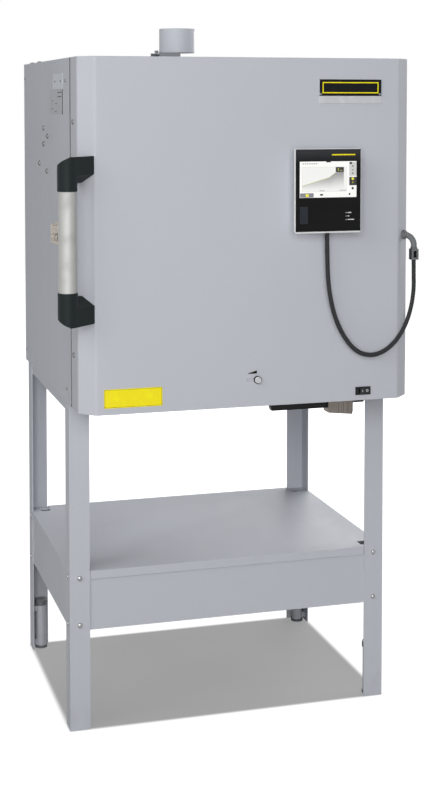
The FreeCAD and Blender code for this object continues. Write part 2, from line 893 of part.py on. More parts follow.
def insulation_boards():
    """Fibre boards between the bricks and the casing on five sides."""
    front = lining_front
    low = d.body_bottom + d.sheet
    high = body_top - d.sheet
    boards = [
        box("board_floor", (-inner_half, front, low), (inner_half, board_back, lining_bottom)),
        box("board_left", (-inner_half, front, lining_bottom), (-lining_half, board_back, lining_top)),
        box("board_right", (lining_half, front, lining_bottom), (inner_half, board_back, lining_top)),
    ]
    roof = box("board_roof_block", (-inner_half, front, lining_top), (inner_half, board_back, high))
    half = d.exhaust_diameter / 2
    duct = box("board_duct", (d.flue_x - half, d.flue_y - half, lining_top),
               (d.flue_x + half, d.flue_y + half, high))
    boards.append(cut("board_roof", roof, duct))
    rear = box("board_rear_block", (-lining_half, lining_back, lining_bottom),
               (lining_half, board_back, lining_top))
    tools = [square_bar("board_sheath_hole", d.sheath_diameter / 2 + d.slide_play,
                        0, lining_back, body_middle, "Y", d.rear_board)]
    for x, z in lead_spots():
        name = "board_lead_hole_%d" % len(tools)
        tools.append(square_bar(name, d.bushing_diameter / 2 + d.slide_play,
                                x, lining_back, z, "Y", d.rear_board))
    boards.append(cut("board_rear", rear, *tools))
    subpart("insulation_boards", compound("insulation_boards", *boards))


def lead_spots():
    heights = coil_heights()
    for side in (-1, 1):
        for z in (heights[0], heights[-1]):
            yield coil_centre * side, z


def heating_coils():
    """Each wall's coil runs to and fro; plain wire links its runs and leads out at the rear."""
    heights = coil_heights()
    for side in (-1, 1):
        label = "heating_coils_left" if side < 0 else "heating_coils_right"
        x = coil_centre * side
        pieces = []
        for run, z in enumerate(heights):
            pieces.append(prism("%s_run_%d" % (label, run), HEAD_SIDES, d.coil_diameter,
                                coil_end - coil_start, (x, coil_start, z), "Y"))
        for run in range(len(heights) - 1):
            y = coil_start + d.coil_wire if run % 2 == 0 else coil_end - d.coil_wire
            pieces.append(prism("%s_link_%d" % (label, run), WIRE_SIDES, d.coil_wire,
                                heights[run + 1] - heights[run], (x, y, heights[run])))
        for end, z in (("low", heights[0]), ("high", heights[-1])):
            pieces.append(prism("%s_lead_%s" % (label, end), WIRE_SIDES, d.coil_wire,
                                board_back + d.terminal_length - coil_end, (x, coil_end, z), "Y"))
        subpart(label, fuse(label, *pieces))


def element_terminals():
    """A ceramic bushing round each lead where it passes the rear board."""
    bushings = []
    for x, z in lead_spots():
        name = "bushing_%d" % len(bushings)
        length = d.rear_board + d.terminal_length / 2
        outer = prism(name + "_outer", BUSHING_SIDES, d.bushing_diameter, length,
                      (x, lining_back, z), "Y")
        hole = square_bar(name + "_hole", d.lead_hole / 2, x, lining_back, z, "Y", length)
        bushings.append(cut(name, outer, hole))
    subpart("element_terminals", compound("element_terminals", *bushings))


def thermocouple():
    """A ceramic sheath through the rear wall with its connection head behind the board."""
    start = chamber_back - d.sheath_reach
    sheath = cylinder("sheath", d.sheath_diameter, board_back - start, (0, start, body_middle), "Y")
    head = prism("sheath_head", NUT_SIDES, d.head_diameter, d.head_length,
                 (0, board_back, body_middle), "Y")
    subpart("thermocouple", fuse("thermocouple", sheath, head))


def hearth_plate():
    half = half_chamber - d.hearth_gap
    subpart("hearth_plate", box("hearth_plate", (-half, chamber_front + d.hearth_gap, chamber_floor),
                                (half, chamber_back - d.hearth_gap, chamber_floor + d.hearth_thick)))


def door_seal():
    """A flat fibre ring on the bricks round the chamber's mouth."""
    low_y = d.door_depth + d.seal_gap
    inner = half_chamber + d.plug_gap
    outer = inner + d.seal_width
    rise = d.chamber_height / 2 + d.plug_gap
    ring = box("seal_outer", (-outer, low_y, body_middle - rise - d.seal_width),
               (outer, lining_front, body_middle + rise + d.seal_width))
    mouth = box("seal_mouth", (-inner, low_y, body_middle - rise),
                (inner, lining_front, body_middle + rise))
    subpart("door_seal", cut("door_seal", ring, mouth))


# Flue and damper

def flue_pipe():
    bottom = body_top + d.flue_gap
    foot = (d.flue_x, d.flue_y, bottom)
    outer = cylinder("flue_outer", d.flue_diameter, d.flue_length, foot)
    bore = cylinder("flue_bore", d.flue_diameter - 2 * d.flue_wall, d.flue_length, foot)
    subpart("flue_pipe", cut("flue_pipe", outer, bore))


guide_right = d.flue_x - d.guide_offset
guide_left = guide_right - d.guide_length
guide_half = d.flue_diameter / 2 + d.slide_play
guide_ledge = body_top + d.guide_height
guide_slot = d.guide_height + d.sheet + 2 * d.slide_play
lip_top = body_top + guide_slot + d.sheet


def flue_bracket():
    """Two folded guides on the roof: a ledge and a lip hold the damper, a weld holds the pipe."""
    thick = d.sheet
    wide = d.guide_flange
    ledge = d.guide_height
    outline = [(0, 0), (wide, 0), (wide, thick), (thick, thick), (thick, ledge - thick),
               (wide, ledge - thick), (wide, ledge), (thick, ledge), (thick, guide_slot),
               (wide, guide_slot), (wide, guide_slot + thick), (0, guide_slot + thick)]
    guides = []
    for name, y, mirrored in (("guide_front", d.flue_y - guide_half, False),
                              ("guide_rear", d.flue_y + guide_half, True)):
        points = mirror_x(outline) if mirrored else outline
        rail = profile(name + "_rail", "YZ", points, d.guide_length, (guide_left, y, body_top))
        low_y = y - wide if mirrored else y
        room = box(name + "_weld_room", (guide_left, low_y, lip_top),
                   (guide_right, low_y + wide, lip_top + d.weld_height))
        inner = d.flue_diameter - 2 * d.flue_wall
        foot = (d.flue_x, d.flue_y, lip_top)
        bead = cut(name + "_bead", cylinder(name + "_bead_outer", inner, d.weld_height, foot),
                   cylinder(name + "_bead_inner", inner - 2 * d.weld_width, d.weld_height, foot))
        guides.append(fuse(name, rail, common(name + "_weld", bead, room)))
    subpart("flue_bracket", compound("flue_bracket", *guides))


def damper_plate():
    """The sliding plate under the left half of the pipe, with a tab for its knob."""
    low_z = guide_ledge + d.slide_play
    high_z = low_z + d.sheet
    half = guide_half - d.sheet - d.slide_play
    left = guide_right - d.damper_reach
    tab = d.damper_knob / 2 + d.knob_margin
    plate = box("damper_sheet", (left, d.flue_y - half, low_z), (guide_right, d.flue_y + half, high_z))
    neck = box("damper_neck", (left - d.damper_tab, d.flue_y - tab, low_z),
               (left, d.flue_y + tab, high_z))
    subpart("damper_plate", fuse("damper_plate", plate, neck))


def damper_knob():
    left = guide_right - d.damper_reach
    radius = d.damper_knob / 2
    low_z = guide_ledge + d.slide_play + d.sheet
    x = left - radius - d.knob_margin
    stem = prism("damper_stem", HEAD_SIDES, radius, d.damper_stem_height, (x, d.flue_y, low_z))
    head = prism("damper_head", HEAD_SIDES, d.damper_knob, d.damper_knob_height - d.damper_stem_height,
                 (x, d.flue_y, low_z + d.damper_stem_height))
    subpart("damper_knob", fuse("damper_knob", stem, head))


# Lock on the left side

def lock_axis():
    return -(half_body + d.lock_axis_reach), d.lock_axis_z


def lock_bracket():
    """An angle screwed to the side panel; its tapered ear carries the collar and a block."""
    reach = d.lock_reach
    taper = d.lock_taper
    middle = reach / 2
    top = d.lock_height
    outline = [(0, 0), (-middle, 0), (-reach, taper), (-reach, top - taper), (-middle, top), (0, top)]
    ear = profile("lock_ear", "XZ", outline, d.lock_plate, (-half_body, d.lock_y, d.lock_bottom))
    foot = box("lock_foot", (-half_body - d.lock_plate, d.lock_y, d.lock_bottom),
               (-half_body, d.lock_y + d.lock_foot, d.lock_bottom + top))
    block_left = -(half_body + d.lock_reach - d.lock_block_inset)
    block = box("lock_block", (block_left, d.lock_y - d.lock_block_depth, d.lock_block_z),
                (block_left + d.lock_block_width, d.lock_y, d.lock_block_z + d.lock_block_height))
    x, z = lock_axis()
    collar = prism("lock_collar", HEAD_SIDES, d.lock_collar, d.lock_collar_length,
                   (x, d.lock_y - d.lock_collar_length, z), "Y")
    bore = cylinder("lock_bore", d.lock_cylinder + 2 * d.lock_play, d.lock_collar_length + d.lock_plate,
                    (x, d.lock_y - d.lock_collar_length, z), "Y")
    subpart("lock_bracket", cut("lock_bracket", fuse("lock_angle", ear, foot, block, collar), bore))


def lock_cylinder():
    """The turning barrel with its keyway, and the cam behind the ear."""
    x, z = lock_axis()
    front = d.lock_y - d.lock_collar_length - d.lock_proud
    barrel = cylinder("lock_barrel", d.lock_cylinder, d.lock_length, (x, front, z), "Y")
    cam_low = front + d.lock_length - d.cam_thick
    cam = box("lock_cam", (x - d.cam_width / 2, cam_low, z - d.cam_length),
              (x + d.cam_width / 2, cam_low + d.cam_thick, z))
    key = box("lock_keyway", (x - d.key_width / 2, front, z - d.key_height / 2),
              (x + d.key_width / 2, front + d.key_depth, z + d.key_height / 2))
    subpart("lock_cylinder", cut("lock_cylinder", fuse("lock_core", barrel, cam), key))


# Hinges

def hinge_pair():
    """Lift-off hinges: the lower knuckle and its pin on the casing, the upper one on the door."""
    half = d.hinge_length / 2
    lower, upper = [], []
    for end, middle in (("low", hinge_low), ("high", hinge_high)):
        arm = d.leaf_thick
        foot = (hinge_x, hinge_y, middle - half)
        knuckle = cylinder("knuckle_case_" + end, d.hinge_knuckle, half, foot)
        pin = cylinder("pin_" + end, d.hinge_pin, 2 * half - d.sheet, foot)
        leaf_y = case_front + d.leaf_thick
        case_arm = box("case_arm_" + end, (half_body, case_front, middle - half),
                       (hinge_x, case_front + arm, middle))
        case_leaf = box("case_leaf_" + end, (half_body, leaf_y, middle - half),
                        (half_body + arm, leaf_y + d.leaf_width, middle))
        lower.append(fuse("hinge_case_" + end, knuckle, pin, case_arm, case_leaf))
        start = middle + d.slide_play
        length = half - d.slide_play
        sleeve = cylinder("knuckle_door_" + end, d.hinge_knuckle, length, (hinge_x, hinge_y, start))
        door_arm = box("door_arm_" + end, (half_body, d.door_depth - arm, start),
                       (hinge_x, d.door_depth, start + length))
        door_leaf = box("door_leaf_" + end, (half_body, d.door_depth - arm - d.leaf_width, start),
                        (half_body + arm, d.door_depth - arm, start + length))
        bore = cylinder("pin_bore_" + end, d.hinge_pin + 2 * d.pin_play, length,
                        (hinge_x, hinge_y, start))
        solid = fuse("hinge_door_solid_" + end, sleeve, door_arm, door_leaf)
        upper.append(cut("hinge_door_" + end, solid, bore))
    subpart("hinge_casing_leaves", compound("hinge_casing_leaves", *lower))
    subpart("hinge_door_leaves", compound("hinge_door_leaves", *upper))


# Door

def door_outline(inset):
    """Half of the door's plan, chamfered at the front corners, moved in by the sheet."""
    side = half_body - inset
    turn = d.door_corner + inset * MITRE
    front = half_body - turn
    return side, turn, front


def door_shell():
    """The folded door pan: chamfered front corners, open towards the chamber."""
    side, turn, front = door_outline(0)
    points = [(-side, d.door_depth), (-side, turn), (-front, 0), (front, 0), (side, turn),
              (side, d.door_depth)]
    body = profile("door_pan", "XY", points, d.body_height, (0, 0, d.body_bottom))
    in_side, in_turn, in_front = door_outline(d.sheet)
    inner = [(-in_side, d.door_depth), (-in_side, in_turn), (-in_front, d.sheet),
             (in_front, d.sheet), (in_side, in_turn), (in_side, d.door_depth)]
    hollow = profile("door_hollow", "XY", inner, d.body_height - 2 * d.sheet,
                     (0, 0, d.body_bottom + d.sheet))
    slot_half = d.slider_stud / 2 + d.slide_play
    slot = box("slider_slot", (d.slider_x - d.slider_travel - slot_half, 0, d.slider_z - slot_half),
               (d.slider_x + slot_half, d.sheet, d.slider_z + slot_half))
    half_width, half_height = switch_body_half()
    window = box("switch_window", (d.switch_x - half_width, 0, d.switch_z - half_height),
                 (d.switch_x + half_width, d.sheet, d.switch_z + half_height))
    subpart("door_shell", cut("door_shell", body, hollow, slot, window))


def switch_body_half():
    return d.switch_width / 2 - d.switch_rim, d.switch_height / 2 - d.switch_rim


def door_insulation():
    """Fibre board that fills the pan round the brick, with pockets for the slider and switch."""
    in_side, in_turn, in_front = door_outline(d.sheet)
    back = d.door_depth - d.sheet
    outline = [(-in_side, back), (-in_side, in_turn), (-in_front, d.sheet), (in_front, d.sheet),
               (in_side, in_turn), (in_side, back)]
    fill = profile("door_fill", "XY", outline, d.body_height - 2 * d.sheet,
                   (0, 0, d.body_bottom + d.sheet))
    half = d.door_brick_width / 2
    brick_front = d.door_depth - d.door_brick_depth
    pocket = box("door_brick_pocket", (-half, brick_front, body_middle - half),
                 (half, back, body_middle + half))
    room = d.slider_plate_width / 2 + d.pocket_play
    tall = d.slider_plate_height / 2 + d.pocket_play
    slider = box("slider_pocket", (d.slider_x - d.slider_travel - room, d.sheet, d.slider_z - tall),
                 (d.slider_x + room, d.sheet + d.slider_pocket, d.slider_z + tall))
    half_width, half_height = switch_body_half()
    switch = box("switch_pocket", (d.switch_x - half_width, d.sheet, d.switch_z - half_height),
                 (d.switch_x + half_width, d.switch_body, d.switch_z + half_height))
    subpart("door_insulation", cut("door_insulation", fill, pocket, slider, switch))


def door_frame():
    """The sheet that closes the pan round the brick."""
    half = d.door_brick_width / 2
    low_y = d.door_depth - d.sheet
    plate = box("door_frame_plate", (-inner_half, low_y, d.body_bottom + d.sheet),
                (inner_half, d.door_depth, body_top - d.sheet))
    hole = box("door_frame_hole", (-half, low_y, body_middle - half),
               (half, d.door_depth, body_middle + half))
    subpart("door_frame", cut("door_frame", plate, hole))


def door_brick():
    """The stepped brick that plugs the chamber's mouth."""
    half = d.door_brick_width / 2
    base = box("door_brick_base", (-half, d.door_depth - d.door_brick_depth, body_middle - half),
               (half, d.door_depth, body_middle + half))
    plug_half = half_chamber - d.plug_gap
    plug_rise = d.chamber_height / 2 - d.plug_gap
    plug = box("door_plug", (-plug_half, d.door_depth, body_middle - plug_rise),
               (plug_half, chamber_front, body_middle + plug_rise))
    subpart("door_brick", fuse("door_brick", base, plug))


# The handle stands off the left corner along the outward normal, local +X
OUTWARD_LEFT = Rotation(Vector(0, 0, 1), 225)
OUTWARD_RIGHT = Rotation(Vector(0, 0, 1), -45)


def left_normal(reach):
    """A point off the middle of the left chamfer, by its distance outwards."""
    return -corner_x - reach * ROOT_HALF, corner_y - reach * ROOT_HALF


def right_normal(reach):
    return corner_x + reach * ROOT_HALF, corner_y - reach * ROOT_HALF


def handle_tube():
    x, y = left_normal(d.handle_stand_off)
    length = d.handle_grip + 2 * d.handle_seat
    foot = (x, y, d.handle_middle - length / 2)
    outer = cylinder("handle_outer", d.handle_tube, length, foot)
    bore = cylinder("handle_bore", d.handle_tube - 2 * d.handle_wall, length, foot)
    subpart("handle_tube", cut("handle_tube", outer, bore))


def handle_bracket(label, sign):
    """A cast bracket: foot on the chamfer, sloped brace, cut corner and a cup for the tube."""
    cup = d.handle_tube / 2 + d.handle_cup
    outer = d.handle_stand_off + cup
    inner = d.handle_stand_off - cup
    start = d.handle_grip / 2
    top = start + d.handle_foot_height
    foot = top - d.handle_foot
    brace = foot - d.handle_brace
    points = [(0, foot), (0, top), (outer - d.handle_cut_width, top),
              (outer, top - d.handle_cut_height), (outer, start), (inner, start),
              (inner, brace), (inner - d.handle_brace_root / 2, brace)]
    points = [(x, as_size(z) * sign) for x, z in points]
    body = profile(label + "_arm", "XZ", points, 2 * cup, (-corner_x, corner_y, d.handle_middle),
                   OUTWARD_LEFT, True)
    x, y = left_normal(d.handle_stand_off)
    seat = d.handle_seat
    low_z = d.handle_middle + start if sign > 0 else d.handle_middle - start - seat
    socket = cylinder(label + "_socket", d.handle_tube, seat, (x, y, low_z))
    subpart(label, cut(label, body, socket))


def nameplate():
    half = d.nameplate_width / 2
    rise = d.nameplate_height / 2
    x = d.nameplate_x
    z = body_top - d.nameplate_drop
    subpart("nameplate", box("nameplate", (x - half, -d.nameplate_thick, z - rise),
                             (x + half, 0, z + rise)))


def air_slider():
    """The air slider: a plate behind the door's sheet and the knob on its stud."""
    half = d.slider_plate_width / 2
    rise = d.slider_plate_height / 2
    low_y = d.sheet + d.slide_play
    plate = box("slider_sheet", (d.slider_x - half, low_y, d.slider_z - rise),
                (d.slider_x + half, low_y + d.sheet, d.slider_z + rise))
    stud = cylinder("slider_stud", d.slider_stud, low_y + d.slide_play,
                    (d.slider_x, -d.slide_play, d.slider_z), "Y")
    subpart("air_slider_plate", fuse("air_slider_plate", plate, stud))
    knob = cylinder("air_slider_knob", d.slider_knob, d.slider_knob_height,
                    (d.slider_x, -d.slide_play - d.slider_knob_height, d.slider_z), "Y")
    subpart("air_slider_knob", knob)


def rocker_well():
    """The room that the rocker swings in: half width, half height and depth."""
    swing = d.rocker_width / 2 + d.rocker_swing + d.rocker_play
    return swing, d.rocker_height / 2 + d.rocker_play, d.rocker_depth * 2


def switch_bezel():
    half = d.switch_width / 2
    rise = d.switch_height / 2
    rim = box("switch_rim", (d.switch_x - half, -d.switch_rim, d.switch_z - rise),
              (d.switch_x + half, 0, d.switch_z + rise))
    half_width, half_height = switch_body_half()
    body = box("switch_block", (d.switch_x - half_width, 0, d.switch_z - half_height),
               (d.switch_x + half_width, d.switch_body, d.switch_z + half_height))
    well_half, well_rise, well_depth = rocker_well()
    well = box("switch_well", (d.rocker_x - well_half, -d.switch_rim, d.switch_z - well_rise),
               (d.rocker_x + well_half, well_depth, d.switch_z + well_rise))
    subpart("switch_bezel", cut("switch_bezel", fuse("switch_solid", rim, body), well))


def switch_rocker():
    """A dished rocker, stored with its right end pressed in."""
    half = d.rocker_width / 2
    rise = d.rocker_rise
    points = [(-half, -(rise + d.rocker_dish)), (0, -rise), (half, -(rise + d.rocker_dish)),
              (half - d.rocker_root, d.rocker_depth), (d.rocker_root - half, d.rocker_depth)]
    body = profile("switch_rocker", "XY", points, d.rocker_height,
                   (d.rocker_x, d.rocker_pivot, d.switch_z - d.rocker_height / 2),
                   Rotation(Vector(0, 0, 1), SIZES["rocker_angle"]))
    subpart("switch_rocker", body)


# Controller

controller_front = -d.controller_reach
plate_front = controller_front + d.controller_glass
plate_back = plate_front + d.controller_plate
rear_box_back = -d.holder_depth


def controller_housing():
    """A flat front plate with rounded corners and a narrower box behind it."""
    half = d.controller_width / 2
    rise = d.controller_height / 2
    corner = d.controller_corner
    x, z = d.controller_x, d.controller_z
    outline = [(corner - half, -rise), (half - corner, -rise), (half, corner - rise),
               (half, rise - corner), (half - corner, rise), (corner - half, rise),
               (-half, rise - corner), (-half, corner - rise)]
    plate = profile("controller_plate", "XZ", outline, d.controller_plate, (x, plate_front, z))
    inset = d.controller_inset
    rear = box("controller_box", (x - half + inset, plate_back, z - rise + inset),
               (x + half - inset, rear_box_back, z + rise - inset))
    relief_foot = z - rise + inset - d.relief_length
    relief = cylinder("controller_relief", d.relief_diameter, d.relief_length,
                      (d.relief_x, (plate_back + rear_box_back) / 2, relief_foot))
    flap_half = d.flap_width / 2 + d.flap_play
    flap_rise = d.flap_height / 2 + d.flap_play
    recess_back = controller_front - d.flap_proud + d.flap_thick + d.flap_play
    recess = box("flap_recess", (d.flap_x - flap_half, plate_front, d.flap_z - flap_rise),
                 (d.flap_x + flap_half, recess_back, d.flap_z + flap_rise))
    port = box("port", (d.flap_x - d.port_width / 2, plate_front, d.flap_z - d.port_height / 2),
               (d.flap_x + d.port_width / 2, plate_front + d.port_depth,
                d.flap_z + d.port_height / 2))
    solid = fuse("controller_solid", plate, rear, relief)
    subpart("controller_housing", cut("controller_housing", solid, recess, port))


def controller_glass():
    half = d.controller_width / 2 - d.controller_edge
    rise = d.controller_height / 2 - d.controller_edge
    x, z = d.controller_x, d.controller_z
    pane = box("glass_pane", (x - half, controller_front, z - rise), (x + half, plate_front, z + rise))
    flap_half = d.flap_width / 2 + d.flap_play
    flap_rise = d.flap_height / 2 + d.flap_play
    hole = box("glass_hole", (d.flap_x - flap_half, controller_front, d.flap_z - flap_rise),
               (d.flap_x + flap_half, plate_front, d.flap_z + flap_rise))
    subpart("controller_glass", cut("controller_glass", pane, hole))


def usb_flap():
    half = d.flap_width / 2
    rise = d.flap_height / 2
    front = controller_front - d.flap_proud
    subpart("usb_flap", box("usb_flap", (d.flap_x - half, front, d.flap_z - rise),
                            (d.flap_x + half, front + d.flap_thick, d.flap_z + rise)))


def controller_holder():
    """A folded holder between the door and the controller, open at the top."""
    half = d.holder_width / 2
    rise = d.holder_height / 2
    thick = d.holder_sheet
    x, z = d.controller_x, d.controller_z
    block = box("holder_block", (x - half, -d.holder_depth, z - rise), (x + half, 0, z + rise))
    room = box("holder_room", (x - half + thick, thick - d.holder_depth, z - rise + thick),
               (x + half - thick, -thick, z + rise))
    subpart("controller_holder", cut("controller_holder", block, room))


# Conduit

def round_face(diameter, sides, centre, heading):
    """A regular polygon with a circle's area, square to the heading."""
    corner = diameter / 2 * math.sqrt(2 * math.pi / (sides * math.sin(2 * math.pi / sides)))
    turn = Rotation(Vector(0, 0, 1), heading)
    points = []
    for i in range(sides):
        angle = 2 * math.pi * i / sides
        points.append(centre + turn.multVec(Vector(corner * math.cos(angle), corner * math.sin(angle), 0)))
    return Part.Face(Part.makePolygon(points + points[:1]))


def tube_along(points, diameter, radius=None):
    """A closed tube of straight runs and tangent arcs; prints its radii, length and volume."""
    stations = [Vector(*p) for p in points]
    face = round_face(diameter, HOSE_SIDES, stations[0], stations[1] - stations[0])
    area = face.Area
    solids = []
    radii = []
    length = 0.0
    start = stations[0]
    for before, corner, after in zip(stations, stations[1:], stations[2:]):
        first, second = corner - before, after - corner
        turn = first.getAngle(second)
        bend = radius or 0.45 * min(first.Length, second.Length) / math.tan(turn / 2)
        into = Vector(first).normalize()
        out = Vector(second).normalize()
        arc_start = corner - into * (bend * math.tan(turn / 2))
        axis = into.cross(out)
        centre = arc_start + axis.cross(into).normalize() * bend
        solids.append(face.extrude(arc_start - start))
        face.translate(arc_start - start)
        solids.append(face.revolve(centre, axis, math.degrees(turn)))
        face.rotate(centre, axis, math.degrees(turn))
        length += (arc_start - start).Length + bend * turn
        start = corner + out * (bend * math.tan(turn / 2))
        radii.append(bend)
    solids.append(face.extrude(stations[-1] - start))
    length += (stations[-1] - start).Length
    solid = solids[0].multiFuse(solids[1:])
    print("bend radii", [round(bend, 1) for bend in radii])
    print("tube length %.1f mm, volume ratio %.4f" % (length, solid.Volume / (area * length)))
    return solid


def from_shape(name, shape):
    obj = doc.addObject("Part::Feature", name)
    obj.Shape = shape
    return obj


# Points of the conduit from the controller down, round its loop and up to the
# connector, in model space. The first and last ones meet their fittings.
CONDUIT_POINTS = (
    (153.3, -20.0, 978.0),
    (157.0, -20.0, 918.0),
    (168.8, -19.0, 865.6),
    (188.7, -18.0, 822.0),
    (217.0, -17.0, 788.5),
    (248.6, -16.0, 777.5),
    (280.5, -14.0, 784.0),
    (309.8, -12.0, 806.4),
    (331.3, -9.0, 839.1),
    (344.5, -6.0, 875.5),
    (350.3, -4.0, 912.4),
)


def conduit():
    """The flexible conduit between the controller and the connector."""
    inset = d.controller_inset.value
    bottom = d.controller_z.value - d.controller_height.value / 2
    exit_point = (d.relief_x.value, (plate_back.value + rear_box_back.value) / 2,
                  bottom + inset - d.relief_length.value)
    x, y = right_normal(d.elbow_reach)
    end = (x.value, y.value, d.connector_top.value - d.connector_length.value)
    last = (x.value, y.value, end[2] - d.conduit_rise.value)
    points = (exit_point,) + CONDUIT_POINTS + (last, end)
    subpart("conduit", from_shape("conduit", tube_along(points, d.conduit_diameter.value)))


def elbow_gland():
    """The gland nut on the right chamfer and the hose that bends down to the connector."""
    x, y = right_normal(0)
    nut = prism("elbow_nut", NUT_SIDES, d.elbow_nut, d.elbow_nut_length, (x, y, d.elbow_z))
    place(nut, x, y, d.elbow_z, OUTWARD_RIGHT.multiply(TURNS["X"]))
    far_x, far_y = right_normal(d.elbow_reach)
    start = (x.value, y.value, d.elbow_z.value)
    corner = (far_x.value, far_y.value, d.elbow_z.value)
    end = (far_x.value, far_y.value, d.connector_top.value)
    hose = from_shape("elbow_hose", tube_along((start, corner, end), d.elbow_hose.value,
                                               d.elbow_radius.value))
    subpart("elbow_gland", fuse("elbow_gland", nut, hose))


def conduit_connector():
    """The plug body that joins the hose to the conduit, its long edges cut."""
    half = d.connector_width / 2
    deep = d.connector_thick / 2
    edge = d.connector_corner
    outline = [(edge - half, -deep), (half - edge, -deep), (half, edge - deep), (half, deep - edge),
               (half - edge, deep), (edge - half, deep), (-half, deep - edge), (-half, edge - deep)]
    x, y = right_normal(d.elbow_reach)
    body = profile("conduit_connector", "XY", outline, d.connector_length,
                   (x, y, d.connector_top - d.connector_length))
    subpart("conduit_connector", body)


# Air inlet under the floor

def inlet_guide():
    """A folded steel box under the floor pan, ribbed in front, with a sloped lower edge."""
    right = d.inlet_x + d.inlet_width
    back = d.inlet_y + d.inlet_depth
    low = d.inlet_bottom
    outline = [(0, d.inlet_slope), (d.inlet_width, 0), (d.inlet_width, d.body_bottom - low),
               (0, d.body_bottom - low)]
    block = profile("inlet_block", "XZ", outline, d.inlet_depth, (d.inlet_x, d.inlet_y, low))
    thick = d.inlet_sheet
    hollow = box("inlet_hollow", (d.inlet_x + thick, d.inlet_y + thick, low),
                 (right - thick, back - thick, d.body_bottom - thick))
    play = d.bar_play
    bar_y = d.inlet_y + (d.inlet_depth - d.bar_depth) / 2
    pass_left = box("inlet_pass_left", (d.inlet_x, bar_y - play, d.bar_bottom - play),
                    (d.inlet_x + thick, bar_y + d.bar_depth + play, d.bar_bottom + d.bar_height + play))
    pass_right = box("inlet_pass_right", (right - thick, bar_y - play, d.bar_bottom - play),
                     (right, bar_y + d.bar_depth + play, d.bar_bottom + d.bar_height + play))
    ribs = []
    for number in range(SIZES["rib_count"]):
        x = right - d.rib_width - d.rib_pitch * number
        ribs.append(box("inlet_rib_%d" % number, (x, d.inlet_y - d.rib_depth, low + d.inlet_slope),
                        (x + d.rib_width, d.inlet_y, d.body_bottom)))
    shell = cut("inlet_shell", block, hollow, pass_left, pass_right)
    subpart("inlet_guide", fuse("inlet_guide", shell, *ribs))


def inlet_bar():
    """The black slide bar through the guide: round-nosed grip at the left, slim tail at the right."""
    left, right = d.bar_left, d.bar_right
    height = d.bar_height
    tail = d.inlet_x + d.inlet_width + d.bar_play
    nose = height / 2
    slim = d.bar_tail_height
    points = [(d.bar_nose_cut, 0), (tail - left, 0), (tail - left + d.bar_step, height - slim),
              (right - left - d.bar_edge, height - slim),
              (right - left, height - slim + d.bar_edge),
              (right - left, height), (0, height), (0, nose)]
    bar_y = d.inlet_y + (d.inlet_depth - d.bar_depth) / 2
    subpart("inlet_bar", profile("inlet_bar", "XZ", points, d.bar_depth, (left, bar_y, d.bar_bottom)))


def build():
    legs()
    apron_bolts()
    apron_pair_front_rear()
    apron_pair_sides()
    shelf_tray()
    top_rails()
    foot_tubes()
    foot_caps()
    side_panels()
    roof_panel()
    floor_pan()
    front_frame()
    rear_panel()
    rear_cover()
    brick_walls()
    brick_floor()
    brick_roof()
    brick_rear()
    insulation_boards()
    heating_coils()
    element_terminals()
    thermocouple()
    hearth_plate()
    door_seal()
    flue_pipe()
    flue_bracket()
    damper_plate()
    damper_knob()
    lock_bracket()
    lock_cylinder()
    hinge_pair()
    door_shell()
    door_insulation()
    door_frame()
    door_brick()
    handle_tube()
    handle_bracket("handle_bracket_top", 1)
    handle_bracket("handle_bracket_bottom", -1)
    nameplate()
    air_slider()
    switch_bezel()
    switch_rocker()
    controller_housing()
    controller_glass()
    usb_flap()
    controller_holder()
    conduit()
    elbow_gland()
    conduit_connector()
    inlet_guide()
    inlet_bar()


def check():
    """Stop on any failed feature and on any empty or broken sub-part."""
    for obj in doc.Objects:
        if "Invalid" in obj.State or "Error" in obj.State:
            raise RuntimeError("%s failed: %s" % (obj.Name, obj.State))
    for obj in subparts:
        if obj.Shape.isNull() or not obj.Shape.isValid() or not obj.Shape.Solids:
            raise RuntimeError("%s has no sound shape" % obj.Label)


def export():
    os.makedirs("parts", exist_ok=True)
    for obj in subparts:
        obj.Shape.exportStep("parts/%s.step" % obj.Label)
    print(len(subparts), "sub-parts written")


build()
doc.recompute()
check()
export()
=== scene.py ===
"""Looks of a chamber kiln on its stand: finishes, dressed pieces, camera and studio."""

import logging
import math
from dataclasses import dataclass, field
from enum import Enum
from functools import reduce
from typing import Any, Callable, Iterable, Mapping, Sequence

import bmesh
import bpy
from mathutils import Matrix, Vector


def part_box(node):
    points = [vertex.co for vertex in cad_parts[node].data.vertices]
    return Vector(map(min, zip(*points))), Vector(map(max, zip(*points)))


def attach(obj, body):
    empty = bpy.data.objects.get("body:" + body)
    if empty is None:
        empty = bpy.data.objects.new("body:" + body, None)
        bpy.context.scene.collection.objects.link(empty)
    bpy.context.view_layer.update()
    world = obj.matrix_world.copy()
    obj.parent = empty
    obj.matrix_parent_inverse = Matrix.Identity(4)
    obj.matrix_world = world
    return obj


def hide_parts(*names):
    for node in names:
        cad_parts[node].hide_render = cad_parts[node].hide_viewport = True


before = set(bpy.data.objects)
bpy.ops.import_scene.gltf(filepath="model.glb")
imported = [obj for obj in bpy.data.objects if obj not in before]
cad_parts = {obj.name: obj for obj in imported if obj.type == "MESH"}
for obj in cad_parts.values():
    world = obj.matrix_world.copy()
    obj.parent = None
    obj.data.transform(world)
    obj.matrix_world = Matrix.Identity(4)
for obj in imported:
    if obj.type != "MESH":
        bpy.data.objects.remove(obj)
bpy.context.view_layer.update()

LOG = logging.getLogger("kiln")

Colour = tuple[float, float, float, float]
Test = Callable[[Vector, Vector], bool]

UP = Vector((0.0, 0.0, 1.0))
FRONT = Vector((0.0, -1.0, 0.0))
LEFT = Vector((-1.0, 0.0, 0.0))
LEFT_CHAMFER = Vector((-1.0, -1.0, 0.0)).normalized()
RIGHT_CHAMFER = Vector((1.0, -1.0, 0.0)).normalized()
ALONG_CHAMFER = Vector((LEFT_CHAMFER.x, -LEFT_CHAMFER.y, 0.0))

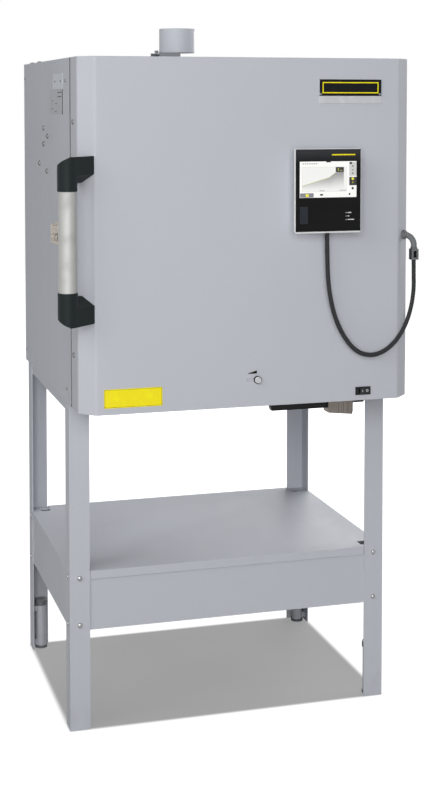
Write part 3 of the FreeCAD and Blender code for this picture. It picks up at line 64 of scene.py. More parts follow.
OFFSET_X, OFFSET_Y = 14.4, -327.4


class Body(Enum):
    """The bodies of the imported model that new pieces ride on."""

    KILN = "kiln"
    DOOR = "door"
    SLIDER = "air_slider"
    ROCKER = "rocker"
    FLAP = "port_flap"
    LOCK = "lock_barrel"


class Slot(Enum):
    """The record's material slots."""

    CASING = "casing_paint"
    ZINC = "zinc_steel"
    CHROME = "lock_chrome"
    STAINLESS = "stainless"
    WIRE = "heating_wire"
    CAST = "black_cast"
    BLACK = "black_plastic"
    CONDUIT = "conduit_grey"
    HOUSING = "housing_silver"
    GLASS = "screen_glass"
    PLATE = "plate_black"


def at(x: float, y: float, z: float) -> Vector:
    """A point in the kiln's own millimetres, as metres of the shared frame."""
    return Vector((x + OFFSET_X, y + OFFSET_Y, z)) / 1000


def mm(*lengths: float) -> Vector:
    """A step in millimetres as metres."""
    return Vector(lengths) / 1000


def grey(level: float, alpha: float = 1.0) -> Colour:
    """A neutral colour of one level."""
    return (level, level, level, alpha)


def web(code: str) -> Colour:
    """A colour written as six hexadecimal digits, in linear light."""
    parts = [int(code[i : i + 2], 16) / 255 for i in (0, 2, 4)]
    linear = [p / 12.92 if p <= 0.04045 else ((p + 0.055) / 1.055) ** 2.4 for p in parts]
    return (*linear, 1.0)


def shaded(colour: Colour, factor: float) -> Colour:
    """A colour made lighter or darker by a factor."""
    return (*(min(1.0, part * factor) for part in colour[:3]), 1.0)


# Shader graphs


def arithmetic(operation: str, swapped: bool = False) -> Callable[["Wire", Any], "Wire"]:
    """A method that adds one Math node on a wire and another value.

    Args:
        operation: the node's operation.
        swapped: the other value comes first.

    Returns:
        The method.
    """

    def apply(wire: "Wire", other: "Wire | float") -> "Wire":
        """The result of the operation."""
        first, second = (other, wire) if swapped else (wire, other)
        return wire.graph.maths(operation, first, second)

    return apply


class Wire:
    """The value that leaves one shader socket; plain arithmetic on it adds Math nodes.

    Args:
        graph: the graph that the socket belongs to.
        socket: the output socket.
    """

    def __init__(self, graph: "Graph", socket: bpy.types.NodeSocket | None) -> None:
        self.graph = graph
        self.socket = socket

    __add__ = arithmetic("ADD")
    __radd__ = arithmetic("ADD", swapped=True)
    __sub__ = arithmetic("SUBTRACT")
    __rsub__ = arithmetic("SUBTRACT", swapped=True)
    __mul__ = arithmetic("MULTIPLY")
    __rmul__ = arithmetic("MULTIPLY", swapped=True)
    __truediv__ = arithmetic("DIVIDE")
    __mod__ = arithmetic("FLOORED_MODULO")
    __lt__ = arithmetic("LESS_THAN")
    __gt__ = arithmetic("GREATER_THAN")
    at_most = arithmetic("MINIMUM")
    at_least = arithmetic("MAXIMUM")

    def __abs__(self) -> "Wire":
        return self.graph.maths("ABSOLUTE", self, 0.0)

    def rise(self, low: "Wire | float", high: "Wire | float") -> "Wire":
        """0 below low, 1 above high, and a smooth step between them."""
        return self.graph.node(
            "ShaderNodeMapRange",
            {"interpolation_type": "SMOOTHSTEP"},
            {"Value": self, "From Min": low, "From Max": high},
        )

    def within(self, low: float, high: float) -> "Wire":
        """1 between two values, and 0 outside them."""
        return (self > low) * (self < high)


class Graph:
    """The node tree of one material or of the world.

    Args:
        owner: the material or the world.
    """

    def __init__(self, owner: bpy.types.Material | bpy.types.World) -> None:
        owner.use_nodes = True
        self.owner = owner
        self.tree = owner.node_tree
        self.tree.nodes.clear()

    @classmethod
    def named(cls, name: str) -> "Graph":
        """The graph of a new material."""
        return cls(bpy.data.materials.new(name))

    def node(
        self,
        kind: str,
        settings: Mapping[str, Any] | None = None,
        sockets: Mapping[str | int, Any] | None = None,
        out: str | int = 0,
    ) -> Wire:
        """Adds a node.

        Args:
            kind: the node's type.
            settings: its properties, and a ramp's stops, which are set first.
            sockets: values or wires of its inputs.
            out: the output that is used.

        Returns:
            The wire that leaves that output.
        """
        made = self.tree.nodes.new(kind)
        for key, value in (settings or {}).items():
            if key == "stops":
                ramp = made.color_ramp.elements
                while len(ramp) < len(value):
                    ramp.new(0.5)
                for stop, (place, colour) in zip(ramp, value):
                    stop.position = place
                    stop.color = colour
            else:
                setattr(made, key, value)
        for key, value in (sockets or {}).items():
            entry = made.inputs[key]
            if isinstance(value, Wire):
                self.tree.links.new(value.socket, entry)
            else:
                entry.default_value = value
        return Wire(self, made.outputs[out] if len(made.outputs) else None)

    def maths(self, operation: str, first: Wire | float, second: Wire | float) -> Wire:
        """A Math node on two values."""
        return self.node("ShaderNodeMath", {"operation": operation}, {0: first, 1: second})

    def point(self, stretch: Sequence[float] = (1, 1, 1), centre: Vector | None = None) -> Wire:
        """Object coordinates, measured from a centre and stretched along the axes."""
        place = self.node("ShaderNodeTexCoord", out="Object")
        shift = -centre if centre else Vector()
        moved = self.node("ShaderNodeMapping", None, {"Vector": place, "Location": shift})
        return self.node("ShaderNodeMapping", None, {"Vector": moved, "Scale": stretch})

    def parts(self, vector: Wire) -> tuple[Wire, Wire, Wire]:
        """The three parts of a vector."""
        split = self.node("ShaderNodeSeparateXYZ", None, {"Vector": vector})
        outputs = split.socket.node.outputs
        return Wire(self, outputs[0]), Wire(self, outputs[1]), Wire(self, outputs[2])

    def noise(self, spot: Wire, scale: float, detail: float = 2.0) -> Wire:
        """Soft noise between 0 and 1 with a number of waves to the metre."""
        return self.node(
            "ShaderNodeTexNoise", None, {"Vector": spot, "Scale": scale, "Detail": detail}
        )

    def cells(self, spot: Wire, scale: float) -> Wire:
        """The distance to the nearest of scattered points."""
        return self.node("ShaderNodeTexVoronoi", None, {"Vector": spot, "Scale": scale})

    def blend(self, factor: Wire | float, first: Wire | Colour, second: Wire | Colour) -> Wire:
        """The colour between two colours."""
        return self.node(
            "ShaderNodeMix",
            {"data_type": "RGBA", "clamp_factor": True},
            {0: factor, 6: first, 7: second},
            out=2,
        )

    def bump(self, height: Wire, depth: float, strength: float = 1.0) -> Wire:
        """A surface normal that follows a height.

        Args:
            height: the height, from 0 to 1.
            depth: how deep 1 is, in metres.
            strength: how much of it shows.
        """
        return self.node(
            "ShaderNodeBump", None, {"Strength": strength, "Distance": depth, "Height": height}
        )

    def surface(self, **sockets: Any) -> bpy.types.Material:
        """Ends the graph in one Principled shader.

        Args:
            sockets: its inputs, with underscores for spaces.

        Returns:
            The finished material.
        """
        named = {key.replace("_", " "): value for key, value in sockets.items()}
        shader = self.node("ShaderNodeBsdfPrincipled", None, named)
        self.node("ShaderNodeOutputMaterial", None, {"Surface": shader})
        return self.owner


# Finishes


@dataclass(frozen=True)
class Paint:
    """Baked powder paint on sheet steel: fine pebbling, soft clouds of tone, darker in patches near
    the floor.
    """

    name: str
    colour: Colour
    gloss: float = 0.55
    pebble: float = 0.5

    def make(self) -> bpy.types.Material:
        """Builds the material."""
        g = Graph.named(self.name)
        spot = g.point()
        height = g.parts(spot)[2]
        cloud = g.noise(spot, 2.2, 3.0).rise(0.35, 0.65)
        fleck = g.noise(spot, 520.0, 1.0).rise(0.3, 0.7)
        wipe = g.noise(g.point((26.0, 26.0, 1.6)), 1.0, 3.0).rise(0.3, 0.7)
        # Darker patches near the floor, fading out 0.12 m up.
        near_floor_darkening = (1.0 - height.rise(0.0, 0.12)) * g.noise(spot, 30.0, 3.0).rise(0.35, 0.7)
        tone = g.blend(cloud, shaded(self.colour, 0.985), shaded(self.colour, 1.015))
        tone = g.blend(fleck * 0.35, tone, shaded(self.colour, 1.06))
        tone = g.blend(near_floor_darkening * 0.35, tone, shaded(self.colour, 0.82))
        pebbles = g.noise(spot, 700.0, 2.0)
        return g.surface(
            Base_Color=tone,
            Roughness=self.gloss + wipe * 0.08 + fleck * 0.04,
            Normal=g.bump(pebbles, 0.00006, self.pebble),
            Specular_IOR_Level=0.2,
        )


@dataclass(frozen=True)
class Metal:
    """Bare or plated metal with drawn lines, scratches and spots of dull."""

    name: str
    colour: Colour
    rough: float = 0.35
    lines: tuple[float, float, float] = (300.0, 300.0, 300.0)
    line_depth: float = 0.00003
    spangle: float = 0.0

    def make(self) -> bpy.types.Material:
        """Builds the material."""
        g = Graph.named(self.name)
        spot = g.point()
        drawn = g.noise(g.point(self.lines), 1.0, 3.0)
        dull = g.noise(spot, 24.0, 4.0).rise(0.4, 0.75)
        flakes = g.cells(spot, 260.0).rise(0.1, 0.7)
        shade = g.blend(dull * 0.5, self.colour, shaded(self.colour, 0.86))
        shade = g.blend(flakes * self.spangle, shade, shaded(self.colour, 0.72))
        return g.surface(
            Base_Color=shade,
            Metallic=1.0,
            Roughness=self.rough + dull * 0.1 + drawn.rise(0.3, 0.7) * 0.06,
            Normal=g.bump(drawn, self.line_depth, 0.5),
        )


@dataclass(frozen=True)
class Moulded:
    """A moulded or cast surface with a fine texture and handling marks."""

    name: str
    colour: Colour
    gloss: float = 0.45
    grain: float = 900.0
    depth: float = 0.00008
    shine: float = 0.3

    def make(self) -> bpy.types.Material:
        """Builds the material."""
        g = Graph.named(self.name)
        spot = g.point()
        grain = g.noise(spot, self.grain, 2.0)
        worn = g.noise(spot, 60.0, 4.0).rise(0.45, 0.75)
        shade = g.blend(worn * 0.5, self.colour, shaded(self.colour, 1.25))
        shade = g.blend(grain.rise(0.3, 0.8) * 0.3, shade, shaded(self.colour, 0.8))
        return g.surface(
            Base_Color=shade,
            Roughness=self.gloss + worn * 0.1,
            Normal=g.bump(grain, self.depth, 0.6),
            Specular_IOR_Level=self.shine,
        )


@dataclass(frozen=True)
class Refractory:
    """Porous insulating brick or pressed fibre: pits darkened by painted shade, grains and, on
    bricks, open joints.
    """

    name: str
    colour: Colour
    stain: Colour
    pits: float = 330.0
    depth: float = 0.0006
    course: float = 0.0
    length: float = 0.114
    joint: tuple[float, float] = (0.0004, 0.0009)

    def make(self) -> bpy.types.Material:
        """Builds the material."""
        g = Graph.named(self.name)
        spot = g.point()
        x, y, z = g.parts(spot)
        pit = g.cells(spot, self.pits).rise(0.05, 0.45)
        pores = g.noise(spot, 1400.0, 2.0)
        cloud = g.noise(spot, 9.0, 4.0).rise(0.3, 0.75)
        tone = g.blend(cloud * 0.6, self.colour, self.stain)
        # Painted shade darkens the pits.
        tone = g.blend((1.0 - pit) * 0.4, tone, shaded(self.stain, 0.7))
        height = pit * 0.7 + pores * 0.3
        if self.course:
            half = self.length / 2
            bed = abs(z % self.course - self.course / 2).rise(*self.joint)
            odd = (z % (2 * self.course)) > self.course
            end = abs((y + x + odd * half) % self.length - half).rise(*self.joint)
            joint = 1.0 - bed * end
            tone = g.blend(joint * 0.6, tone, shaded(self.stain, 0.45))
            height = height - joint * 0.9
        return g.surface(
            Base_Color=tone,
            Roughness=0.93 - pores * 0.05,
            Normal=g.bump(height, self.depth, 0.7),
            Specular_IOR_Level=0.2,
        )


@dataclass(frozen=True)
class FluePaint:
    """The flue's paint outside, and sooty steel inside the pipe, darker further down with painted
    shade.
    """

    name: str
    colour: Colour
    centre: Vector = field(default_factory=lambda: at(-48, 400, 0))
    bore: float = 0.0384
    top: float = 1.4575
    soot_and_shade: tuple[float, float] = (1.40, 1.47)

    def make(self) -> bpy.types.Material:
        """Builds the material."""
        g = Graph.named(self.name)
        x, y, z = g.parts(g.point(centre=self.centre))
        reach = g.maths("SQRT", x * x + y * y, 0.0)
        inside = (reach < self.bore) * (z < self.top)
        # Inside the pipe: soot, darkened further below the top by painted shade.
        soot_and_shade = inside * (1.0 - z.rise(*self.soot_and_shade) * 0.5)
        fine = g.noise(g.point(), 600.0, 2.0)
        cloud = g.noise(g.point((1, 1, 0.3)), 16.0, 3.0).rise(0.3, 0.7)
        paint = g.blend(cloud, shaded(self.colour, 0.97), shaded(self.colour, 1.02))
        return g.surface(
            Base_Color=g.blend(soot_and_shade, paint, web("4A4744")),
            Roughness=0.45 + soot_and_shade * 0.3,
            Normal=g.bump(fine, 0.00006, 0.5),
            Specular_IOR_Level=0.2,
        )


@dataclass(frozen=True)
class Display:
    """The lit touch screen: a heating curve, tiles at the right and tabs along the foot.

    Lengths are in millimetres over the screen. A mark of four numbers is a tile: its left, right,
    low and high side. A mark of three is a dot: its two places and its radius. A row of dashes is
    a tile with the dashes' pitch and gap. A leg of the curve is where it starts, and its slope.
    """

    name: str
    corner: Vector = field(default_factory=lambda: at(87.7, 0, 1105.0))
    glow: float = 0.53
    chart: tuple[float, ...] = (5.3, 99.0, 11.5, 61.0)
    inner: tuple[float, ...] = (5.7, 98.6, 11.9, 60.6)
    drawn: tuple[float, ...] = (5.3, 93.4, 11.5, 61.0)
    legs: tuple[tuple[float, ...], ...] = (
        (5.3, 23.0, 0.2915),
        (62.6, 39.7, 0.726),
        (76.1, 49.5, 0.49),
    )
    marks: tuple[tuple[str, tuple[tuple[float, ...], ...]], ...] = (
        ("C9C9C7", ((105.0, 121.0, 42.6, 70.3),)),
        ("6E6E6C", ((112.5, 62.2, 1.7), (112.5, 54.7, 1.4), (112.5, 47.8, 1.7))),
        (
            "121210",
            (
                (76.0, 93.4, 50.7, 60.5),
                (105.0, 121.0, 23.6, 40.3),
                (55.8, 65.7, 70.0, 74.0),
                (105.4, 110.9, 66.2, 70.3),
                (112.5, 17.6, 2.6),
                (43.0, 49.0, 3.6, 7.2),
                (105.7, 6.2, 2.0),
            ),
        ),
        ("807F85", ((0.8, 29.3, 0.5, 9.0),)),
        ("F0EA2C", ((12.7, 18.9, 1.7, 7.1), (112.5, 36.9, 2.6))),
        ("A39E3A", ((112.5, 29.4, 1.7), (80.5, 83.0, 53.0, 58.5), (85.5, 89.5, 53.0, 54.6))),
    )
    dashes: tuple[tuple[tuple[float, ...], float, float], ...] = (
        ((4.6, 38.5, 66.4, 68.6), 4.6, 1.1),
        ((41.5, 52.0, 12.6, 14.6), 3.5, 0.9),
        ((84.0, 99.0, 13.0, 15.0), 3.7, 1.2),
    )

    def make(self) -> bpy.types.Material:
        """Builds the material from masks over the screen."""
        g = Graph.named(self.name)
        x, _, z = g.parts(g.point(centre=self.corner))
        u, v = x * 1000.0, z * 1000.0

        def mask(mark: Sequence[float]) -> Wire:
            """1 inside a tile or a dot of the screen."""
            if len(mark) == 4:
                return u.within(*mark[:2]) * v.within(*mark[2:])
            du, dv = u - mark[0], v - mark[1]
            return (du * du + dv * dv) < mark[2] * mark[2]

        first, second, third = (level + (u - start) * slope for start, level, slope in self.legs)
        curve = first.at_least(second.at_most(third))
        chart, drawn = mask(self.chart), mask(self.drawn)
        shade = drawn * (v < curve) * v.rise(12.0, curve + 3.0)
        face = g.blend(chart, web("FBFBF8"), web("F1F1EE"))
        face = g.blend(shade * (0.25 + u * 0.007), face, web("66666A"))
        face = g.blend(drawn * (abs(v - curve) < 0.55), face, web("B9B86A"))
        face = g.blend(chart * (1.0 - mask(self.inner)) * 0.6, face, web("A9A9A6"))
        for code, marks in self.marks:
            face = g.blend(reduce(Wire.at_least, map(mask, marks)), face, web(code))
        rows = [mask(tile) * ((u % pitch) > gap) for tile, pitch, gap in self.dashes]
        face = g.blend(reduce(Wire.at_least, rows) * 0.65, face, web("55555A"))
        return g.surface(
            Base_Color=g.blend(0.5, face, grey(0.0)),
            Emission_Color=face,
            Emission_Strength=self.glow,
            Roughness=0.2 + g.noise(g.point(), 90.0, 2.0) * 0.05,
            Coat_Weight=0.4,
        )


@dataclass(frozen=True)
class FrontGlass:
    """Black glass with a painted reflection, a lighter grey that fades in towards the top, and faint
    wipe marks.
    """

    name: str
    colour: Colour
    painted_reflection: Colour
    fade: tuple[float, float] = (1.168, 1.202)

    def make(self) -> bpy.types.Material:
        """Builds the material."""
        g = Graph.named(self.name)
        z = g.parts(g.point())[2]
        wipe = g.noise(g.point((14.0, 14.0, 40.0)), 1.0, 3.0).rise(0.3, 0.75)
        # Painted reflection: lighter grey fading in towards the top of the glass.
        tone = g.blend(z.rise(*self.fade), self.colour, self.painted_reflection)
        return g.surface(
            Base_Color=g.blend(wipe * 0.25, tone, shaded(self.colour, 1.6)),
            Roughness=0.1 + wipe * 0.06,
            Specular_IOR_Level=0.08,
        )


@dataclass(frozen=True)
class Corrugated:
    """Ribbed plastic hose, rougher in the grooves between its ribs and darkened there by painted
    shade.
    """

    name: str
    colour: Colour
    pitch: float = 0.0032

    def make(self) -> bpy.types.Material:
        """Builds the material on the hose's own UV map, whose u is its length in metres."""
        g = Graph.named(self.name)
        place = g.node("ShaderNodeUVMap", {"uv_map": "run"})
        u = g.parts(place)[0]
        groove = abs((u / self.pitch) % 1.0 - 0.5).rise(0.2, 0.4)
        speck = g.noise(g.point(), 800.0, 2.0)
        # Painted shade darkens the grooves between the ribs.
        tone = g.blend(groove * 0.6, self.colour, shaded(self.colour, 0.45))
        tone = g.blend(speck.rise(0.4, 0.8) * 0.25, tone, shaded(self.colour, 1.5))
        return g.surface(
            Base_Color=tone,
            Roughness=0.5 + groove * 0.25,
            Normal=g.bump(speck, 0.00005, 0.4),
            Specular_IOR_Level=0.2,
        )


class Finish(Enum):
    """Every finish of the kiln."""

    CASING = Paint("casing paint", web("B9BCC3"))
    STAND = Paint("stand paint", web("BABDC4"))
    FLUE = FluePaint("flue paint", web("BBBEC5"))
    INNER = Paint("inner sheet paint", web("9FA3AA"))
    DULL = Paint("dull steel sheet", web("85888C"))
    ZINC = Metal("zinc plate", web("A4A6A8"), rough=0.38, spangle=0.25)
    CHROME = Metal("lock chrome", web("A19B94"), rough=0.36, line_depth=0.00001)
    SCREW = Metal("screw steel", web("6C6D6E"), rough=0.3, line_depth=0.00001)
    BOLT = Metal("bolt steel", web("8A8B8C"), rough=0.24, line_depth=0.00001)
    TUBE = Metal("satin aluminium", web("A2A2A0"), rough=0.62, lines=(900.0, 900.0, 8.0))
    GUIDE = Metal("stainless guide", web("6F6964"), rough=0.36, lines=(9.0, 700.0, 700.0))
    CAST = Moulded("black cast", web("1A2121"), gloss=0.5, grain=700.0, shine=0.12)
    BLACK = Moulded("black plastic", web("191A1B"), gloss=0.45, shine=0.15)
    NYLON = Moulded("dark nylon", web("2C2E30"), gloss=0.45, shine=0.2)
    HOSE = Moulded("elbow hose", web("6D6F71"), gloss=0.42, grain=500.0, shine=0.15)
    FOOT = Moulded("foot grey", web("707376"), gloss=0.45, shine=0.15)
    CONDUIT = Corrugated("conduit grey", web("303133"))
    HOUSING = Moulded("housing silver", web("E2E3E4"), gloss=0.35, depth=0.00003)
    GLASS = FrontGlass("screen glass", web("141415"), web("36383B"))
    FLAP = Moulded("flap plastic", web("2A2D34"), gloss=0.3, shine=0.1)
    PORT = Moulded("port dark", web("060607"), gloss=0.6, shine=0.1)
    SCREEN = Display("lit screen")
    BLACKPLATE = Moulded("plate black", web("101114"), gloss=0.35, shine=0.1)
    PALEPLATE = Moulded("plate pale", web("C0C2C6"), gloss=0.35, depth=0.00003)
    YELLOW = Moulded("label yellow", web("F3E21A"), gloss=0.4, depth=0.00002, shine=0.2)
    INK = Moulded("label ink", web("1A1A12"), gloss=0.5, depth=0.00001, shine=0.1)
    WHITEMARK = Moulded("light marking", web("DADCDE"), gloss=0.4, depth=0.00001)
    TYPEPLATE = Moulded("type plate white", web("CDD1D6"), gloss=0.5, depth=0.00002, shine=0.05)
    GREYPLATE = Moulded("type plate grey", web("B4B8BD"), gloss=0.5, depth=0.00002, shine=0.05)
    BRICK = Refractory("fire brick", web("DCCFB4"), web("C4AE8A"), course=0.0585)
    BOARD = Refractory("fibre board", web("E6E1D6"), web("CFC6B4"), pits=600.0, depth=0.0003)
    CERAMIC = Moulded("white ceramic", web("E9E4DA"), gloss=0.35, grain=400.0)
    CARBIDE = Refractory("silicon carbide", web("5A5752"), web("464440"), pits=500.0, depth=0.0003)
    HEATER = Metal("heating wire", web("6B6059"), rough=0.6, spangle=0.4)

    def material(self) -> bpy.types.Material:
        """The finish's material, built the first time that it is asked for."""
        return bpy.data.materials.get(self.value.name) or self.value.make()


# Modelling


def rest() -> None:
    """Leaves edit mode and selects nothing."""
    active = bpy.context.view_layer.objects.active
    if active and active.mode == "EDIT":
        bpy.ops.object.mode_set(mode="OBJECT")
    bpy.ops.object.select_all(action="DESELECT")


def settle() -> bpy.types.Object:
    """Puts the active object's place into its mesh and returns it."""
    bpy.ops.object.transform_apply(location=True, rotation=True, scale=True)
    return bpy.context.view_layer.objects.active


def placed(name: str, data: bpy.types.ID) -> bpy.types.Object:
    """A new object in the scene."""
    made = bpy.data.objects.new(name, data)
    bpy.context.scene.collection.objects.link(made)
    return made


class Blank:
    """A mesh that is shaped with Blender's own modelling operators.

    Args:
        name: the piece's name.
        piece: the object with the mesh.
    """

    def __init__(self, name: str, piece: bpy.types.Object) -> None:
        piece.name = name
        piece.data.name = name
        self.name = name
        self.piece = piece

    @classmethod
    def block(cls, name: str, low: Vector, high: Vector) -> "Blank":
        """A block between two corners."""
        rest()
        bpy.ops.mesh.primitive_cube_add(size=1, location=(low + high) / 2, scale=high - low)
        return cls(name, settle())

    @classmethod
    def rod(cls, name: str, foot: Vector, run: Vector, radius: float, sides: int = 24) -> "Blank":
        """A closed round bar that starts at foot and goes along run."""
        rest()
        bpy.ops.mesh.primitive_cylinder_add(
            vertices=sides,
            radius=radius,
            depth=run.length,
            location=foot + run / 2,
            rotation=run.to_track_quat("Z", "Y").to_euler(),
        )
        return cls(name, settle())

    @classmethod
    def outline(cls, name: str, corners: Sequence[Vector], run: Vector) -> "Blank":
        """A flat face through the corners, drawn out along run into a solid."""
        rest()
        bpy.ops.mesh.primitive_circle_add(vertices=len(corners), radius=0.01, fill_type="NGON")
        piece = settle()
        for vertex, corner in zip(piece.data.vertices, corners):
            vertex.co = corner
        return cls(name, piece).pick(lambda spot, normal: True).extrude(run).outward()

    @classmethod
    def copied(cls, name: str, node: str) -> "Blank":
        """A merged copy of a CAD node's mesh with its flat faces joined up."""
        rest()
        made = cls(name, placed(name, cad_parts[node].data.copy()))
        made.edit()
        bpy.ops.mesh.select_all(action="SELECT")
        bpy.ops.mesh.remove_doubles(threshold=0.00001)
        bpy.ops.mesh.dissolve_limited(angle_limit=math.radians(0.5))
        return made.outward()

    @classmethod
    def plaque(
        cls, name: str, low: Vector, high: Vector, facing: Vector, rim: float, rise: float = 0.0
    ) -> "Blank":
        """A thin block with an inset face, which is left selected.

        Args:
            name: the piece's name.
            low: its lowest corner.
            high: its highest corner.
            facing: where the face looks.
            rim: the rim's width round the inset face.
            rise: how far the face stands up inside the rim, or down.
        """
        return cls.block(name, low, high).facing(facing).inset(rim, rise)

    @classmethod
    def merged(cls, name: str, parts: Sequence["Blank"]) -> "Blank":
        """One piece made of several."""
        return parts[0].joined(parts[1:]).called(name)

    def alone(self) -> "Blank":
        """Makes this piece the active one and the only one selected."""
        rest()
        bpy.context.view_layer.objects.active = self.piece
        self.piece.select_set(True)
        return self

    def edit(self) -> "Blank":
        """Opens the mesh for editing."""
        self.alone()
        bpy.ops.object.mode_set(mode="EDIT")
        return self

    def choose(self, kind: str, test: Callable[[Any], bool]) -> "Blank":
        """Selects the faces or the edges that meet a test."""
        self.edit()
        bpy.ops.mesh.select_mode(type=kind)
        bpy.ops.mesh.select_all(action="DESELECT")
        mesh = bmesh.from_edit_mesh(self.piece.data)
        for part in mesh.faces if kind == "FACE" else mesh.edges:
            part.select_set(bool(test(part)))
        bmesh.update_edit_mesh(self.piece.data)
        return self

    def pick(self, test: Test) -> "Blank":
        """Selects the faces whose centre and normal meet a test."""
        return self.choose("FACE", lambda face: test(face.calc_center_median(), face.normal))

    def pick_edges(self, test: Test) -> "Blank":
        """Selects the edges whose middle and span meet a test."""

        def meets(edge: bmesh.types.BMEdge) -> bool:
            """The test on one edge."""
            first, second = (vertex.co for vertex in edge.verts)
            return test((first + second) / 2, second - first)

        return self.choose("EDGE", meets)

    def facing(self, direction: Vector) -> "Blank":
        """Selects the farthest of the faces that look along a direction."""
        rest()
        looks = [face for face in self.piece.data.polygons if face.normal.dot(direction) > 0.99]
        level = max((face.center.dot(direction) for face in looks), default=0.0) - 0.00001
        return self.pick(lambda c, n: n.dot(direction) > 0.99 and c.dot(direction) >= level)

    def inset(self, width: float, depth: float = 0.0) -> "Blank":
        """Insets the selected faces, and sinks or raises them by depth."""
        bpy.ops.mesh.inset(thickness=width, depth=depth)
        return self

    def extrude(self, run: Vector) -> "Blank":
        """Draws the selected faces or edges out along run."""
        bpy.ops.mesh.extrude_region_move(TRANSFORM_OT_translate={"value": run})
        return self

    def shrink(self, factor: float, centre: Vector) -> "Blank":
        """Scales what is selected about a centre."""
        bpy.ops.transform.resize(value=(factor,) * 3, center_override=centre)
        return self

    def spin(self, angle: float, centre: Vector, axis: Vector, steps: int) -> "Blank":
        """Turns the selected loop about an axis, which leaves a bent wall."""
        bpy.ops.mesh.spin(steps=steps, angle=math.radians(angle), center=centre, axis=axis)
        return self

    def chamfer(self, width: float, segments: int = 3) -> "Blank":
        """Bevels the selected edges."""
        bpy.ops.mesh.bevel(offset=width, segments=segments, affect="EDGES", clamp_overlap=True)
        return self

    def sliced(self, spot: Vector, normal: Vector) -> "Blank":
        """Cuts off what lies beyond a plane, on its normal's side, and closes the cut."""
        self.edit()
        bpy.ops.mesh.select_all(action="SELECT")
        bpy.ops.mesh.bisect(plane_co=spot, plane_no=normal, use_fill=True, clear_outer=True)
        return self

    def outward(self) -> "Blank":
        """Merges doubles and points every face outwards."""
        self.edit()
        bpy.ops.mesh.select_all(action="SELECT")
        bpy.ops.mesh.remove_doubles(threshold=0.000001)
        bpy.ops.mesh.normals_make_consistent(inside=False)
        rest()
        return self

    def modified(self, kind: str, **settings: Any) -> "Blank":
        """Adds a modifier and applies it."""
        self.alone()
        made = self.piece.modifiers.new(kind.lower(), kind)
        for key, value in settings.items():
            setattr(made, key, value)
        bpy.ops.object.modifier_apply(modifier=made.name)
        return self

    def eased(self, width: float, segments: int = 2, angle: float = 30.0) -> "Blank":
        """Rounds every sharp edge."""
        return self.modified(
            "BEVEL",
            width=width,
            segments=segments,
            limit_method="ANGLE",
            angle_limit=math.radians(angle),
        )

    def moved(self, matrix: Matrix) -> "Blank":
        """Moves the mesh by a matrix."""
        rest()
        self.piece.data.transform(matrix)
        return self

    def twin(self, name: str, matrix: Matrix) -> "Blank":
        """A copy with its own mesh, moved by a matrix."""
        return Blank(name, placed(name, self.piece.data.copy())).moved(matrix)

    def scattered(self, places: Iterable[Matrix]) -> "Blank":
        """Copies at every place, joined up; the piece itself goes."""
        twins = [self.twin(self.name, place) for place in places]
        bpy.data.objects.remove(self.piece)
        return Blank.merged(self.name, twins)

    def joined(self, others: Iterable["Blank"]) -> "Blank":
        """Takes other pieces into this one."""
        self.alone()
        for other in others:
            other.piece.select_set(True)
        bpy.ops.object.join()
        return self

    def called(self, name: str) -> "Blank":
        """Renames the piece."""
        self.name = self.piece.name = self.piece.data.name = name
        return self

    def coat(self, *finishes: Finish) -> "Blank":
        """Gives the piece its finishes; faces keep the material index that they have."""
        self.piece.data.materials.clear()
        for finish in finishes:
            self.piece.data.materials.append(finish.material())
        return self

    def paint_faces(self, index: int, test: Test) -> "Blank":
        """Gives the faces that meet a test another of the piece's materials."""
        rest()
        for face in self.piece.data.polygons:
            if test(face.center, face.normal):
                face.material_index = index
        return self

    def fit(
        self,
        body: Body,
        slot: Slot | None = None,
        stands_for: Sequence[str] = (),
        smooth: float = 32,
    ) -> bpy.types.Object:
        """Smooths the piece and hands it to its body.

        Args:
            body: the body that it rides on.
            slot: the record's slot; not used.
            stands_for: CAD nodes that it replaces.
            smooth: edges sharper than this many degrees stay sharp.

        Returns:
            The finished object.
        """
        self.alone()
        bpy.ops.object.shade_smooth_by_angle(angle=math.radians(smooth))
        self.modified("WEIGHTED_NORMAL", keep_sharp=True, weight=80)
        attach(self.piece, body.value)
        if stands_for:
            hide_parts(*stands_for)
        LOG.info("%s: %d faces on %s", self.name, len(self.piece.data.polygons), body.value)
        return self.piece


def refined(
    name: str,
    node: str,
    finish: Finish,
    body: Body,
    slot: Slot,
    ease: tuple[float, int, float] | None = None,
) -> None:
    """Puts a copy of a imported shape, with eased edges, in its node's place.

    Args:
        name: the piece's name.
        node: the CAD node that it is copied from and stands for.
        finish: its finish.
        body: the body that it rides on.
        slot: the record's slot.
        ease: width, segments and least angle of the eased edges.
    """
    made = Blank.copied(name, node).coat(finish)
    if ease:
        made.eased(*ease)
    made.fit(body, slot, [node])


def turned(direction: Vector, place: Vector) -> Matrix:
    """The move that puts a piece made upright at the origin at a place, along a direction."""
    return Matrix.Translation(place) @ direction.to_track_quat("Z", "Y").to_matrix().to_4x4()


def dome_screw(name: str, radius: float, height: float, recess: float) -> Blank:
    """A domed screw head at the origin, looking up, with a round drive recess.

    Args:
        name: the piece's name.
        radius: the head's radius.
        height: how high the dome stands over the sheet.
        recess: the recess's radius.

    Returns:
        The head, whose foot is sunk a little into the sheet.
    """
    sunk, edge, step, last = 0.0004, height * 0.35, 22, 72
    made = Blank.rod(name, UP * -sunk, UP * (sunk + edge), radius, 20)
    level = edge
    for degrees in (28, 52, last):
        top = edge + (height - edge) * math.sin(math.radians(degrees))
        made.facing(UP).extrude(UP * (top - level))
        level = top
        shorter = math.cos(math.radians(degrees)) / math.cos(math.radians(degrees - step))
        made.shrink(shorter, UP * level)
    crown = radius * 0.9 * math.cos(math.radians(last)) / math.cos(math.radians(28 - step))
    made.facing(UP).inset(max(crown - recess, 0.00005)).extrude(UP * -height * 0.4)
    return made


